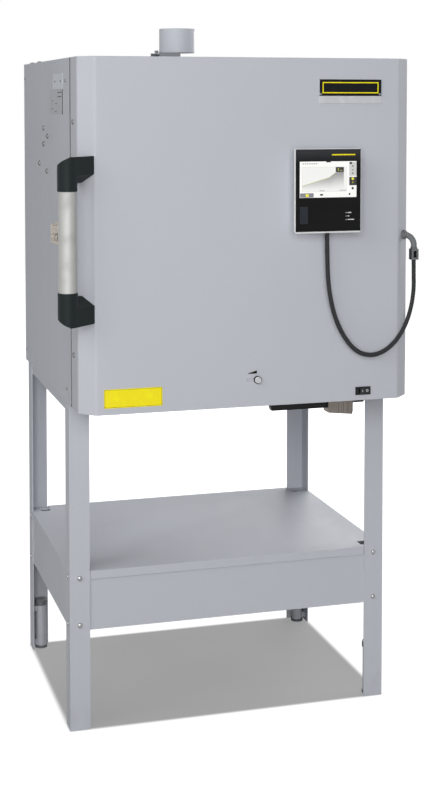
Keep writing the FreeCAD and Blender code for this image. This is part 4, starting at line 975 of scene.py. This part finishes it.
def soften(node: str, width: float) -> None:
    """Rounds the edges of a CAD node with live modifiers, its own mesh untouched."""
    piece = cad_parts[node]
    weld = piece.modifiers.new("weld", "WELD")
    weld.merge_threshold = 0.00001
    flat = piece.modifiers.new("flat", "DECIMATE")
    flat.decimate_type = "DISSOLVE"
    flat.angle_limit = math.radians(0.5)
    edge = piece.modifiers.new("edge", "BEVEL")
    edge.width = width
    edge.segments = 2
    edge.limit_method = "ANGLE"
    edge.angle_limit = math.radians(35)


# The conduit


@dataclass
class Conduit:
    """The ribbed conduit from the controller to the elbow on the door's right chamfer."""

    diameter: float = 0.0095
    length: float = 0.5377
    pitch: float = 0.0032
    groove: float = 0.0007
    sides: int = 14
    route: tuple[tuple[float, float, float], ...] = (
        (152.9, -20, 1036.0),
        (153.3, -20, 978),
        (157, -20, 918),
        (168.8, -19, 865.6),
        (188.7, -18, 822),
        (217, -17, 788.5),
        (248.6, -16, 777.5),
        (280.5, -14, 784),
        (309.8, -12, 806.4),
        (331.3, -9, 839.1),
        (344.5, -6, 875.5),
        (350.3, -4, 912.4),
        (350.08, -2.58, 942.0),
        (350.08, -2.58, 971.0),
    )

    def line(self) -> list[Vector]:
        """The points of the route's smooth line."""
        curve = bpy.data.curves.new("conduit_route", "CURVE")
        curve.dimensions = "3D"
        curve.resolution_u = 24
        spline = curve.splines.new("NURBS")
        spline.points.add(len(self.route) - 1)
        for point, spot in zip(spline.points, self.route):
            point.co = (*at(*spot), 1.0)
        spline.order_u = 3
        spline.use_endpoint_u = True
        holder = placed("conduit_route", curve)
        bpy.context.view_layer.update()
        mesh = bpy.data.meshes.new_from_object(holder)
        points = [vertex.co.copy() for vertex in mesh.vertices]
        bpy.data.objects.remove(holder)
        bpy.data.meshes.remove(mesh)
        return points

    def stations(self, points: Sequence[Vector]) -> list[tuple[float, Vector, Vector, float]]:
        """Places along the line: how far along, where, which way and how thick.

        Args:
            points: the line's points.

        Returns:
            One row for each ring of the hose's wall.
        """
        marks = [0.0]
        for first, second in zip(points, points[1:]):
            marks.append(marks[-1] + (second - first).length)
        outer = self.diameter / 2
        inner = outer - self.groove
        profile = ((0.0, outer), (0.42, outer), (0.56, inner), (0.86, inner))
        count = int(marks[-1] / self.pitch)
        rows, leg = [], 0
        for rib in range(count + 1):
            for share, radius in profile:
                far = min((rib + share) * self.pitch, marks[-1] - 0.00001)
                while marks[leg + 1] < far:
                    leg += 1
                first, second = points[leg], points[leg + 1]
                part = (far - marks[leg]) / (marks[leg + 1] - marks[leg])
                rows.append((far, first.lerp(second, part), (second - first).normalized(), radius))
        return rows

    def build(self) -> None:
        points = self.line()
        rows = self.stations(points)
        vertices: list[Vector] = []
        side = Vector((0, 1, 0))
        for _, spot, ahead, radius in rows:
            side = (side - ahead * side.dot(ahead)).normalized()
            other = ahead.cross(side)
            for step in range(self.sides):
                turn = math.tau * step / self.sides
                vertices.append(spot + (side * math.cos(turn) + other * math.sin(turn)) * radius)
        faces = []
        for ring in range(len(rows) - 1):
            for step in range(self.sides):
                one, two = ring * self.sides + step, ring * self.sides + (step + 1) % self.sides
                faces.append((one, two, two + self.sides, one + self.sides))
        faces.append(tuple(reversed(range(self.sides))))
        faces.append(tuple(range(len(vertices) - self.sides, len(vertices))))
        mesh = bpy.data.meshes.new("conduit_hose")
        mesh.from_pydata(vertices, [], faces)
        run = mesh.uv_layers.new(name="run")
        for loop in mesh.loops:
            ring, step = divmod(loop.vertex_index, self.sides)
            run.data[loop.index].uv = (rows[ring][0], step / self.sides * 0.03)
        piece = placed("conduit_hose", mesh)
        made = Blank("conduit_hose", piece).coat(Finish.CONDUIT)
        made.fit(Body.DOOR, Slot.CONDUIT, ["conduit"], smooth=50)
        at(*self.route[0])


# The controller and its fittings


@dataclass
class Controller:
    """The touch controller in its holder: glass front, screen, flap, marks and cable gland.

    Lengths are in millimetres: the glass's front, the screen's sides, and the rim's width.
    """

    front: float = -39.0
    screen: tuple[float, float, float, float] = (87.7, 208.2, 1105.0, 1177.0)
    rim: float = 1.5

    def build(self) -> None:
        """Builds every piece of the controller."""
        case = ("controller_case", "controller_housing", Finish.HOUSING)
        refined(*case, Body.DOOR, Slot.HOUSING, (0.0004, 2, 40))
        self.build_screen()
        self.build_marks()
        self.build_gland()
        self.build_flap()

    def build_screen(self) -> None:
        """The glass over a silver edge, and the lit display inside a thin black rim."""
        left, right, low, high = self.screen
        y, rim = self.front, self.rim
        glass = Blank.block("front_glass", at(79.4, y, 1036.9), at(217.4, y + 1, 1201.4))
        glass.eased(0.0003, 2, 50).coat(Finish.GLASS)
        glass.fit(Body.DOOR, Slot.GLASS, ["controller_glass"])
        corners = at(left, y - 0.15, low), at(right, y + 0.3, high)
        face = Blank.plaque("screen_face", *corners, FRONT, 0.0003, -0.00003)
        face.coat(Finish.SCREEN).fit(Body.DOOR, Slot.GLASS)
        corners = at(left - rim, y - 0.12, low - rim), at(right + rim, y + 0.2, high + rim)
        edge = Blank.plaque("screen_rim", *corners, FRONT, 0.0014, -0.0001)
        edge.coat(Finish.PORT).eased(0.0001, 1, 60).fit(Body.DOOR, Slot.GLASS)

    def build_marks(self) -> None:
        """Three lamp lenses with plain dashes beside them, and a plain yellow bar at the top."""
        out, deep = self.front - 0.12, self.front + 0.2
        dashes, lenses = [], []
        for z, width in ((1074.0, 8.0), (1067.0, 3.5), (1060.0, 14.0)):
            corners = at(189.5, out, z - 0.9), at(189.5 + width, deep, z + 0.9)
            dashes.append(Blank.plaque("dash", *corners, FRONT, 0.0002, 0.00003))
            lens = Blank.rod("lens", at(186.4, deep, z), FRONT * 0.0004, 0.0009, 16)
            lenses.append(lens.facing(FRONT).inset(0.0003, 0.0002))
        for name, parts in (("lamp_marks", dashes), ("lamp_lenses", lenses)):
            Blank.merged(name, parts).coat(Finish.WHITEMARK).fit(Body.DOOR)
        corners = at(155.5, out, 1188.9), at(205.5, deep, 1191.4)
        bar = Blank.plaque("glass_bar", *corners, FRONT, 0.0004, 0.00003)
        bar.coat(Finish.YELLOW).fit(Body.DOOR)

    def build_gland(self) -> None:
        """The ribbed gland round the conduit's relief under the housing."""
        foot, tall = at(152.9, -20, 1036.2), 0.0035
        made = Blank.rod("controller_gland", foot, UP * tall, 0.0066, 28)
        for rise, grow in ((0.002, 1.16), (0.0045, 1.0), (0.0018, 0.92)):
            tall += rise
            made.facing(UP).extrude(UP * rise)
            made.facing(UP).shrink(grow, foot + UP * tall)
        made.coat(Finish.NYLON).eased(0.0003).fit(Body.DOOR, Slot.BLACK)

    def build_flap(self) -> None:
        """The port flap with a sunk face inside a raised rim."""
        made = Blank.copied("usb_flap_lid", "usb_flap")
        made.facing(FRONT).inset(0.0012, -0.0003)
        made.coat(Finish.FLAP).eased(0.0003).fit(Body.FLAP, None, ["usb_flap"])


@dataclass
class Elbow:
    """The nut and bent hose on the door's right chamfer, and the connector below them."""

    bend: float = 0.0205
    hose: float = 0.00625
    foot: float = 997.5
    face: Vector = field(default_factory=lambda: at(332.4, 15.1, 1021.7))
    corner: Vector = field(default_factory=lambda: at(350.08, -2.58, 1021.7))

    def build(self) -> None:
        """Builds the nut with its collar, the hose and the connector."""
        out = RIGHT_CHAMFER
        nut = Blank.rod("elbow_nut", self.face, out * 0.006, 0.0098, 6).eased(0.0006, 2)
        collar = Blank.rod("collar", self.face + out * 0.0055, out * 0.0022, 0.0082, 28)
        collar.facing(out).inset(0.0008, 0.0008)
        nut.joined([collar]).coat(Finish.HOSE).fit(Body.DOOR, Slot.BLACK)
        self.build_hose()
        self.build_connector()

    def build_hose(self) -> None:
        """A smooth hose that leaves the nut level and bends down into the connector."""
        start = self.face + RIGHT_CHAMFER * 0.004
        turn = self.corner - RIGHT_CHAMFER * self.bend
        rest()
        bpy.ops.mesh.primitive_circle_add(
            vertices=24,
            radius=self.hose,
            fill_type="NGON",
            location=start,
            rotation=RIGHT_CHAMFER.to_track_quat("Z", "Y").to_euler(),
        )
        made = Blank("elbow_hose", settle())
        made.pick(lambda spot, normal: True).extrude(turn - start)
        made.spin(90, turn - UP * self.bend, LEFT_CHAMFER, 12)
        made.extrude(UP * -(self.corner.z - self.bend - at(0, 0, self.foot).z + 0.001))
        made.outward().coat(Finish.HOSE).fit(Body.DOOR, Slot.CONDUIT, ["elbow_gland"])

    def build_connector(self) -> None:
        """The connector's block with a latch window and a stepped collar."""
        low, high = at(342.3, -9.6, 971.0), at(357.9, 4.6, 993.5)
        made = Blank.block("connector_block", low, high)
        made.facing(UP).inset(0.002).extrude(UP * 0.0025)
        made.facing(UP).inset(0.0004).extrude(UP * 0.0015)
        made.eased(0.0014, 3)
        made.facing(FRONT).inset(0.0042).inset(0.0002, -0.0018)
        made.coat(Finish.HOSE, Finish.PORT, Finish.NYLON)

        def window(centre: Vector, normal: Vector) -> bool:
            """The sunk face of the latch window."""
            sunk = centre.y > low.y + 0.001 and centre.z < high.z - 0.006
            return normal.dot(FRONT) > 0.99 and sunk

        made.paint_faces(1, window).paint_faces(2, lambda c, n: n.dot(LEFT) > 0.9)
        made.fit(Body.DOOR, Slot.BLACK, ["conduit_connector"])


# The door


@dataclass
class Bracket:
    """A cast handle bracket: a round cup on an arm with a slanted end and a slanted cut below.

    Lengths are in millimetres: out from the chamfer, along it, and up from the handle's middle.
    """

    name: str
    sign: int
    reach: float = 64.0
    round: float = 19.3
    start: float = 97.0
    flat: float = 110.5
    top: float = 163.0
    foot: float = 35.0
    end_slope: float = 0.53
    cut_slope: float = 0.6

    def place(self, out: float, along: float, up: float) -> Vector:
        """A point of the bracket in the shared frame."""
        middle = at(-332.4, 15.1, 1028.0 + self.sign * up)
        return middle + (LEFT_CHAMFER * out + ALONG_CHAMFER * along) / 1000

    def build(self) -> None:
        """Draws the arm out of its plan, slices it twice and adds the cup."""
        up = UP * self.sign
        plan = [(0.0, -self.round)]
        for step in range(13):
            turn = math.radians(step * 15)
            plan.append((self.reach + self.round * math.sin(turn), -self.round * math.cos(turn)))
        plan.append((0.0, self.round))
        corners = [self.place(out, along, self.flat) for out, along in plan]
        arm = Blank.outline(self.name, corners, up * (self.top - self.flat) / 1000)
        end = self.place(0, 3.5 - self.round, self.top)
        cut = self.place(0, -self.round, self.top - self.foot)
        arm.sliced(end, up + ALONG_CHAMFER * self.end_slope)
        arm.sliced(cut, -(up + ALONG_CHAMFER * self.cut_slope))
        arm.outward().eased(0.0014, 3, 28)
        foot = self.place(self.reach, 0, self.start)
        cup = Blank.rod("cup", foot, up * 0.043, (self.round + 0.05) / 1000, 36)
        cup.facing(-up).inset(0.0017).extrude(up * 0.0079)
        cup.outward().eased(0.0006, 2, 50)
        arm.joined([cup]).coat(Finish.CAST).fit(Body.DOOR, Slot.CAST, ["handle_" + self.name])


@dataclass
class Door:
    """The door pan, handle brackets, plates, label, slider and switch; lengths in millimetres."""

    side: float = 347.5
    chamfer: float = 30.2
    shade_strip_start: float = 92.0

    def build(self) -> None:
        """Builds every piece that rides with the door."""
        self.build_pan()
        for name, sign in (("bracket_top", 1), ("bracket_bottom", -1)):
            Bracket(name, sign).build()
        self.build_nameplate()
        self.build_label()
        self.build_slider_marks()
        self.build_switch()
        places = [turned(LEFT, at(-self.side, 67, z)) for z in (1256.0, 794.0)]
        screws = dome_screw("door_screws", 0.0052, 0.0036, 0.0016).scattered(places)
        screws.coat(Finish.SCREW).fit(Body.DOOR, Slot.ZINC)

    def build_pan(self) -> None:
        """The folded pan with soft bends along its two chamfers, and a strip at its rear painted dark
        as the shadow in the gap to the casing.
        """
        made = Blank.copied("door_pan", "door_shell")
        middle, near = at(0, 0, 0), 0.2

        def bend(centre: Vector, span: Vector) -> bool:
            """An upright outer edge of a chamfer."""
            turn = abs(centre.x - middle.x) * 1000
            deep = (centre.y - middle.y) * 1000
            outer = abs(turn - self.side) < near and abs(deep - self.chamfer) < near
            inner = deep < near and abs(turn - self.side + self.chamfer) < near
            return abs(span.z) > 0.6 and (outer or inner)

        made.pick_edges(bend).chamfer(0.0035, 4)
        # Behind this line the pan takes the dark nylon: painted shadow of the gap between door and
        # casing.
        shade_strip_start = at(0, self.shade_strip_start, 0)
        bpy.ops.mesh.select_all(action="SELECT")
        bpy.ops.mesh.bisect(plane_co=shade_strip_start, plane_no=-FRONT)
        made.coat(Finish.CASING, Finish.NYLON).eased(0.0006, 2, 50)
        made.paint_faces(1, lambda c, n: c.y > shade_strip_start.y)
        made.fit(Body.DOOR, Slot.CASING, ["door_shell"])

    def build_nameplate(self) -> None:
        """The plate with a black field, a thin yellow outline and two screws; no lettering."""
        made = Blank.block("nameplate_sheet", at(141.8, -1.5, 1292.0), at(277.2, 0.0, 1341.6))
        made.eased(0.0008, 2, 50).coat(Finish.PALEPLATE)
        made.fit(Body.DOOR, Slot.PLATE, ["nameplate"])
        corners = at(142.6, -1.75, 1307.5), at(276.4, -1.0, 1341.0)
        black = Blank.plaque("nameplate_field", *corners, FRONT, 0.0012, 0.0001)
        black.coat(Finish.BLACKPLATE).fit(Body.DOOR, Slot.PLATE)
        corners = at(149.0, -1.95, 1313.0), at(270.0, -1.3, 1335.5)
        line = Blank.plaque("nameplate_line", *corners, FRONT, 0.0021)
        line.extrude(FRONT * -0.0004).coat(Finish.YELLOW, Finish.BLACKPLATE)
        deep = corners[0].y + 0.0002
        line.paint_faces(1, lambda c, n: n.dot(FRONT) > 0.99 and c.y > deep).fit(Body.DOOR)
        places = [turned(FRONT, at(x, -1.6, 1311.0)) for x in (145.5, 273.4)]
        screws = dome_screw("nameplate_screws", 0.0026, 0.0012, 0.0006).scattered(places)
        screws.coat(Finish.SCREW).fit(Body.DOOR)

    def build_label(self) -> None:
        """The yellow label near the door's lower left corner, left blank inside its line."""
        made = Blank.block("door_label", at(-301.6, -0.25, 697.0), at(-184.1, 0.05, 734.5))
        made.pick_edges(lambda middle, span: abs(span.y) > 0.0002).chamfer(0.0026, 3)
        made.facing(FRONT).inset(0.0014).inset(0.0005)
        made.coat(Finish.YELLOW, Finish.INK).paint_faces(1, self.is_label_line)
        made.fit(Body.DOOR)

    @staticmethod
    def is_label_line(centre: Vector, normal: Vector) -> bool:
        """A face of the thin line round the label."""
        middle = at(-242.85, 0, 715.75)
        across, up = abs(centre.x - middle.x) * 1000, abs(centre.z - middle.z) * 1000
        edge = 56.6 < across < 57.4 or 16.6 < up < 17.4 or (across > 55.3 and 15.4 < up < 17.4)
        return normal.dot(FRONT) > 0.9 and edge

    def build_slider_marks(self) -> None:
        """The rising wedge beside the air slider, and the slider's knob with a ring of painted shadow
        round its edge.
        """
        corners = [at(-7.3, 0, 751.0), at(11.6, 0, 750.6), at(11.6, 0, 757.0), at(-7.3, 0, 752.0)]
        made = Blank.outline("slider_wedge", corners, FRONT * 0.0002)
        made.coat(Finish.INK).fit(Body.DOOR)
        knob = Blank.copied("slider_knob", "air_slider_knob")
        low, high = (Vector(corner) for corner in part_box("air_slider_knob"))
        middle, ring = (low + high) / 2, (high.x - low.x) / 2 - 0.0013
        knob.facing(FRONT).inset(0.0012).inset(0.0006, -0.0005).inset(0.0012, 0.0006)
        knob.coat(Finish.ZINC, Finish.NYLON).eased(0.0003, 2)
        # Faces near the knob's edge take the dark nylon: a ring of painted shadow.
        knob.paint_faces(1, lambda c, n: math.hypot(c.x - middle.x, c.z - middle.z) > ring)
        knob.fit(Body.SLIDER, Slot.CHROME, ["air_slider_knob"])

    def build_switch(self) -> None:
        """The rocker in its bezel, with an I bar and an O ring on its two faces."""
        frame_of = ("switch_frame", "switch_bezel", Finish.BLACK)
        refined(*frame_of, Body.DOOR, Slot.BLACK, (0.0005, 2, 50))
        rocker = Blank.copied("switch_key", "switch_rocker").coat(Finish.NYLON)
        low, high = (Vector(corner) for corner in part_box("switch_rocker"))
        middle = (low + high) / 2
        faces = [face for face in rocker.piece.data.polygons if face.normal.dot(FRONT) > 0.9]
        bar = Blank.plaque("on", mm(-0.5, -2.6, -0.2), mm(0.5, 2.6, 0.12), UP, 0.0002, 0.00003)
        ring = Blank.rod("off", mm(0, 0, -0.2), mm(0, 0, 0.32), 0.0026, 24)
        ring.facing(UP).inset(0.0009).extrude(UP * -0.00034)
        for side, mark in ((-1, bar), (1, ring)):
            half = [face for face in faces if (face.center.x - middle.x) * side > 0]
            face = max(half or faces, key=lambda one: one.area)
            mark.moved(turned(face.normal, face.center))
        marks = Blank.merged("rocker_marks", [bar, ring])
        marks.coat(Finish.WHITEMARK).fit(Body.ROCKER)
        rocker.eased(0.0004, 2, 60).fit(Body.ROCKER, Slot.BLACK, ["switch_rocker"])


# The casing


@dataclass
class Casing:
    """What is dressed on the kiln's body: plates, screws, lock, coils and inlet."""

    side: float = 347.5
    roof: float = 1384.0

    def build(self) -> None:
        """Builds every piece that stays with the casing; the inlet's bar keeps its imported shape."""
        self.build_screws()
        self.build_type_plates()
        plate = ("lock_plate", "lock_bracket", Finish.CHROME)
        barrel = ("lock_barrel_face", "lock_cylinder", Finish.CHROME)
        channel = ("inlet_channel", "inlet_guide", Finish.GUIDE)
        refined(*plate, Body.KILN, Slot.ZINC, (0.0005, 2, 40))
        refined(*barrel, Body.LOCK, Slot.CHROME)
        self.build_coils()
        refined(*channel, Body.KILN, Slot.STAINLESS, (0.0012, 3, 40))

    def build_screws(self) -> None:
        """The heads in the left panel, along the roof's left edge, and round the rear."""
        spots = ((409, 1239), (357, 1222), (409, 1204), (464, 1160), (370, 1146))
        large = [turned(LEFT, at(-self.side, y, z)) for y, z in spots]
        large += [turned(UP, at(-334, y, self.roof)) for y in (640, 540)]
        spots = ((147, 712), (147, 1338), (668, 712), (668, 1350))
        small = [turned(LEFT, at(-self.side, y, z)) for y, z in spots]
        rear = []
        for sign in (-1, 1):
            rear += [turned(-FRONT, at(sign * 335, 682.4, z)) for z in (712, 1034, 1356)]
            rear += [turned(LEFT * -sign, at(sign * 209.9, 697, z)) for z in (830, 1238)]
        rows = (
            ("panel_screws", (0.0060, 0.0042, 0.0018), large),
            ("small_screws", (0.0034, 0.0022, 0.001), small),
            ("cover_screws", (0.0042, 0.0026, 0.0012), rear),
        )
        for name, sizes, places in rows:
            heads = dome_screw(name, *sizes).scattered(places)
            heads.coat(Finish.SCREW).fit(Body.KILN, Slot.ZINC)

    def build_type_plates(self) -> None:
        """The two type plates on the left panel with rims, fixing dots and plain bars."""
        x = -self.side
        plates = (
            ("type_plate_upper", 174, 289, 1322, 1354, Finish.TYPEPLATE, 0.0014),
            ("type_plate_lower", 181, 327, 1271, 1321, Finish.GREYPLATE, 0.0009),
        )
        for name, front, back, low, high, finish, rim in plates:
            made = Blank.block(name, at(x - 0.7, front, low), at(x + 0.1, back, high))
            made.pick_edges(lambda middle, span: abs(span.x) > 0.0004).chamfer(0.002, 3)
            made.facing(LEFT).inset(rim).inset(0.0004, -0.0002)
            made.coat(finish, Finish.NYLON).fit(Body.KILN)
        places = [turned(LEFT, at(x - 0.6, y, 1338)) for y in (200, 263)]
        dots = dome_screw("plate_dots", 0.0021, 0.001, 0.0005).scattered(places)
        dots.coat(Finish.NYLON).fit(Body.KILN)
        bars = (
            (190, 232, 1315.0, 2.2),
            (190, 232, 1306.5, 2.2),
            (285, 306, 1297.5, 1.2),
            (238, 262, 1292.0, 1.2),
            (285, 306, 1281.0, 1.2),
            (244, 268, 1276.0, 1.2),
        )
        spans = [
            (at(x - 0.95, front, z - tall / 2), at(x - 0.3, back, z + tall / 2))
            for front, back, z, tall in bars
        ]
        spans.append((at(x - 0.9, 178.0, 1270.0), at(x, 180.6, 1321.0)))
        marks = [Blank.plaque("mark", *corners, LEFT, 0.0003, 0.00005) for corners in spans]
        Blank.merged("plate_marks", marks).coat(Finish.NYLON).fit(Body.KILN)

    def build_coils(self) -> None:
        """The wound heating coils in both side walls, with their links and leads."""
        pitch, start, end, runs = 350.0 / 6, 168.0, 470.0, 6
        heights = [859 + pitch * (run + 0.5) for run in range(runs)]
        coil = self.wound(end - start - 4)
        for sign, node in ((-1, "heating_coils_left"), (1, "heating_coils_right")):
            x = 186.0 * sign
            parts = [coil.twin("run", Matrix.Translation(at(x, start + 2, z))) for z in heights]
            for run, z in enumerate(heights[:-1]):
                y = start + 4 if run % 2 == 0 else end - 4
                parts.append(Blank.rod("link", at(x, y, z), UP * pitch / 1000, 0.0016, 8))
            for z in (heights[0], heights[-1]):
                reach = mm(0, 671.8 - end, 0)
                parts.append(Blank.rod("lead", at(x, end - 3, z), reach, 0.0024, 8))
            made = Blank.merged(node + "_wound", parts).coat(Finish.HEATER)
            made.fit(Body.KILN, Slot.WIRE, [node])
        bpy.data.objects.remove(coil.piece)

    @staticmethod
    def wound(length: float) -> Blank:
        """One coil run along +Y from the origin, wound by turning a wire's section."""
        turns = int(length / 8.0)
        rest()
        bpy.ops.mesh.primitive_circle_add(vertices=6, radius=0.0013, location=(0.0085, 0.0, 0.0))
        made = Blank("coil_run", settle())
        return made.modified(
            "SCREW",
            axis="Y",
            angle=math.tau,
            screw_offset=length / turns / 1000,
            iterations=turns,
            steps=12,
            render_steps=12,
            use_merge_vertices=True,
            use_smooth_shade=True,
        )



# The stand


@dataclass
class Stand:
    """The stand's bolts, two rows on both faces of each leg; lengths are in millimetres."""

    face_x: float = 323.75
    side_x: float = 344.9
    ends_y: tuple[float, float] = (142.4, 661.0)
    sides_y: tuple[float, float] = (163.55, 639.85)
    rows: tuple[float, float] = (220.05, 318.05)

    def build(self) -> None:
        """Makes one bolt, with domed head, square neck and nut, and copies it to every hole."""
        bolt = dome_screw("stand_bolts", 0.00525, 0.0033, 0.0016)
        neck = Blank.block("neck", mm(-3, -3, -9.9), mm(3, 3, 0))
        nut = Blank.rod("nut", mm(0, 0, -10), mm(0, 0, 5), 0.0057, 6)
        bolt.joined([neck, nut])
        places = []
        for sign in (-1, 1):
            side = LEFT * -sign
            for z in self.rows:
                ends = zip(self.ends_y, (FRONT, -FRONT))
                places += [turned(away, at(sign * self.face_x, y, z)) for y, away in ends]
                places += [turned(side, at(sign * self.side_x, y, z)) for y in self.sides_y]
        bolts = bolt.scattered(places).coat(Finish.BOLT)
        bolts.fit(Body.KILN, Slot.ZINC, ["apron_bolts"])


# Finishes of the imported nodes


@dataclass(frozen=True)
class Dressing:
    """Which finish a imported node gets, and how far its sharp edges are eased, in metres."""

    finish: Finish
    ease: float
    nodes: tuple[str, ...]


LEGS = ("leg_front_left", "leg_front_right", "leg_rear_left", "leg_rear_right")
APRONS = ("aprons_front_rear", "aprons_left_right")
PANELS = ("side_panel_left", "side_panel_right", "roof_panel", "rear_cover")

DRESSINGS = (
    Dressing(Finish.CASING, 0.0006, PANELS),
    Dressing(Finish.CASING, 0.0, ("controller_holder",)),
    Dressing(Finish.INNER, 0.0005, ("door_frame", "front_frame", "rear_panel", "floor_pan")),
    Dressing(Finish.FLUE, 0.0, ("flue_pipe",)),
    Dressing(Finish.STAND, 0.0007, (*LEGS, *APRONS, "shelf_tray", "top_rails")),
    Dressing(Finish.STAND, 0.0, ("foot_tubes",)),
    Dressing(Finish.CASING, 0.0, ("air_slider_plate",)),
    Dressing(Finish.ZINC, 0.0, ("hinge_casing_leaves", "hinge_door_leaves")),
    Dressing(Finish.DULL, 0.0, ("flue_bracket", "damper_plate", "damper_knob")),
    Dressing(Finish.TUBE, 0.0, ("handle_tube",)),
    Dressing(Finish.BLACK, 0.0, ("inlet_bar",)),
    Dressing(Finish.FOOT, 0.0, ("foot_caps",)),
    Dressing(Finish.BRICK, 0.0015, ("brick_floor", "brick_left", "brick_right", "brick_rear")),
    Dressing(Finish.BRICK, 0.0015, ("brick_roof", "door_brick")),
    Dressing(Finish.BOARD, 0.001, ("insulation_boards", "door_insulation", "door_seal")),
    Dressing(Finish.CERAMIC, 0.0, ("element_terminals", "thermocouple")),
    Dressing(Finish.CARBIDE, 0.0015, ("hearth_plate",)),
)


def dress_nodes() -> None:
    """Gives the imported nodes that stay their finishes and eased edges."""
    for dressing in DRESSINGS:
        for node in dressing.nodes:
            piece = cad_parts[node]
            piece.data.materials.clear()
            piece.data.materials.append(dressing.finish.material())
            if dressing.ease:
                soften(node, dressing.ease)
        LOG.info("%s: %s", dressing.finish.value.name, ", ".join(dressing.nodes))


# Studio


@dataclass
class Studio:
    """The pale floor, the plain lights, the white surroundings and the camera."""

    eye: tuple[float, float, float] = (-0.8775, -3.1400, 1.2916)
    heading: tuple[float, float] = (0.28020, 0.95994)
    tilt: float = 3.0
    lens: float = 66.70
    shift: float = -0.2731
    ambient: float = 0.03
    paper: float = 0.86
    # The glow inside the painted shadow between the feet, and the feet's corners in millimetres.
    shadow: float = 0.285
    feet: tuple[tuple[float, float], tuple[float, float]] = ((-345, 142), (345, 661))
    lamps: tuple[tuple[str, tuple[float, float, float], float, float, float], ...] = (
        ("side_lamp", (-3.9, -2.2, 3.2), 0.9, 93.0, 3.2),
        ("front_lamp", (-1.2, -4.4, 1.8), 0.8, 146.0, 3.0),
        ("right_lamp", (3.6, 0.6, 2.2), 0.35, 60.0, 2.4),
        ("shelf_lamp", (2.4, 3.0, 1.8), 0.35, 105.0, 2.4),
        ("roof_lamp", (0.2, -0.3, 4.2), 0.6, 14.0, 2.6),
    )

    def build(self) -> None:
        """Sets the stage."""
        bpy.context.scene.view_settings.view_transform = "Standard"
        self.build_camera()
        self.build_world()
        self.build_floor()
        for name, place, height, power, size in self.lamps:
            self.build_lamp(name, Vector(place), Vector((0, 0, height)), power, size)

    def build_camera(self) -> None:
        """The camera where the photograph was taken from."""
        data = bpy.data.cameras.new("camera")
        data.lens = self.lens
        data.shift_y = self.shift
        camera = placed("camera", data)
        drop = math.tan(math.radians(self.tilt))
        ahead = Vector((*self.heading, -drop * Vector(self.heading).length))
        camera.location = self.eye
        camera.rotation_euler = ahead.to_track_quat("-Z", "Y").to_euler()
        bpy.context.scene.camera = camera

    def build_world(self) -> None:
        """White to the camera, to gloss and through glass, and a low plain light otherwise."""
        world = bpy.data.worlds.new("surroundings")
        bpy.context.scene.world = world
        graph = Graph(world)
        seen = self.seen(graph)
        lit, white = (
            graph.node("ShaderNodeBackground", None, {"Color": grey(1), "Strength": strength})
            for strength in (self.ambient, 1.0)
        )
        mixed = graph.node("ShaderNodeMixShader", None, {0: seen, 1: lit, 2: white})
        graph.node("ShaderNodeOutputWorld", None, {"Surface": mixed})

    @staticmethod
    def seen(graph: Graph) -> Wire:
        """1 for camera, glossy and transmission rays."""
        rays = [
            graph.node("ShaderNodeLightPath", out=name)
            for name in ("Is Camera Ray", "Is Glossy Ray", "Is Transmission Ray")
        ]
        return rays[0].at_least(rays[1]).at_least(rays[2])

    def build_floor(self) -> None:
        """A white floor that keeps the kiln's shadow, with a painted grey shadow between the four
        feet.
        """
        rest()
        bpy.ops.mesh.primitive_plane_add(size=16)
        floor = bpy.context.view_layer.objects.active
        floor.name = "floor"
        graph = Graph.named("white floor")
        x, y, _ = graph.parts(graph.point())
        low, high = (at(*corner, 0) for corner in self.feet)
        # Between the feet the floor glows less and is darker: a painted shadow under the stand.
        under = self.span(x, low.x, high.x) * self.span(y, low.y, high.y)
        paper = graph.noise(graph.point(), 3.0, 2.0) * 0.02
        far = graph.maths("SQRT", x * x + y * y, 0.0).rise(0.9, 2.4)
        glow = (1.0 - under) * (self.paper + far * 0.2) + under * self.shadow + paper
        tone = graph.blend(under, grey(0.35), grey(0.12))
        shader = graph.node("ShaderNodeBsdfDiffuse", None, {"Color": tone})
        strength = glow * self.seen(graph)
        light = graph.node("ShaderNodeEmission", None, {"Color": grey(1), "Strength": strength})
        both = graph.node("ShaderNodeAddShader", None, {0: shader, 1: light})
        graph.node("ShaderNodeOutputMaterial", None, {"Surface": both})
        floor.data.materials.append(graph.owner)

    @staticmethod
    def span(value: Wire, low: float, high: float, soft: float = 0.008) -> Wire:
        """1 between two places with soft ends."""
        return value.rise(low - soft, low + soft) * (1.0 - value.rise(high - soft, high + soft))

    @staticmethod
    def build_lamp(name: str, place: Vector, target: Vector, power: float, size: float) -> None:
        """A square soft lamp that looks at a target."""
        data = bpy.data.lights.new(name, "AREA")
        data.energy = power
        data.size = size
        lamp = placed(name, data)
        lamp.visible_camera = False
        lamp.location = place
        lamp.rotation_euler = (target - place).to_track_quat("-Z", "Y").to_euler()


def main() -> None:
    """Builds the studio, the conduit and every other piece in order."""
    logging.basicConfig(level=logging.INFO, format="%(name)s: %(message)s")
    Studio().build()
    Conduit().build()
    dress_nodes()
    Controller().build()
    Elbow().build()
    Door().build()
    Casing().build()
    Stand().build()
    rest()


if __name__ == "__main__":
    main()
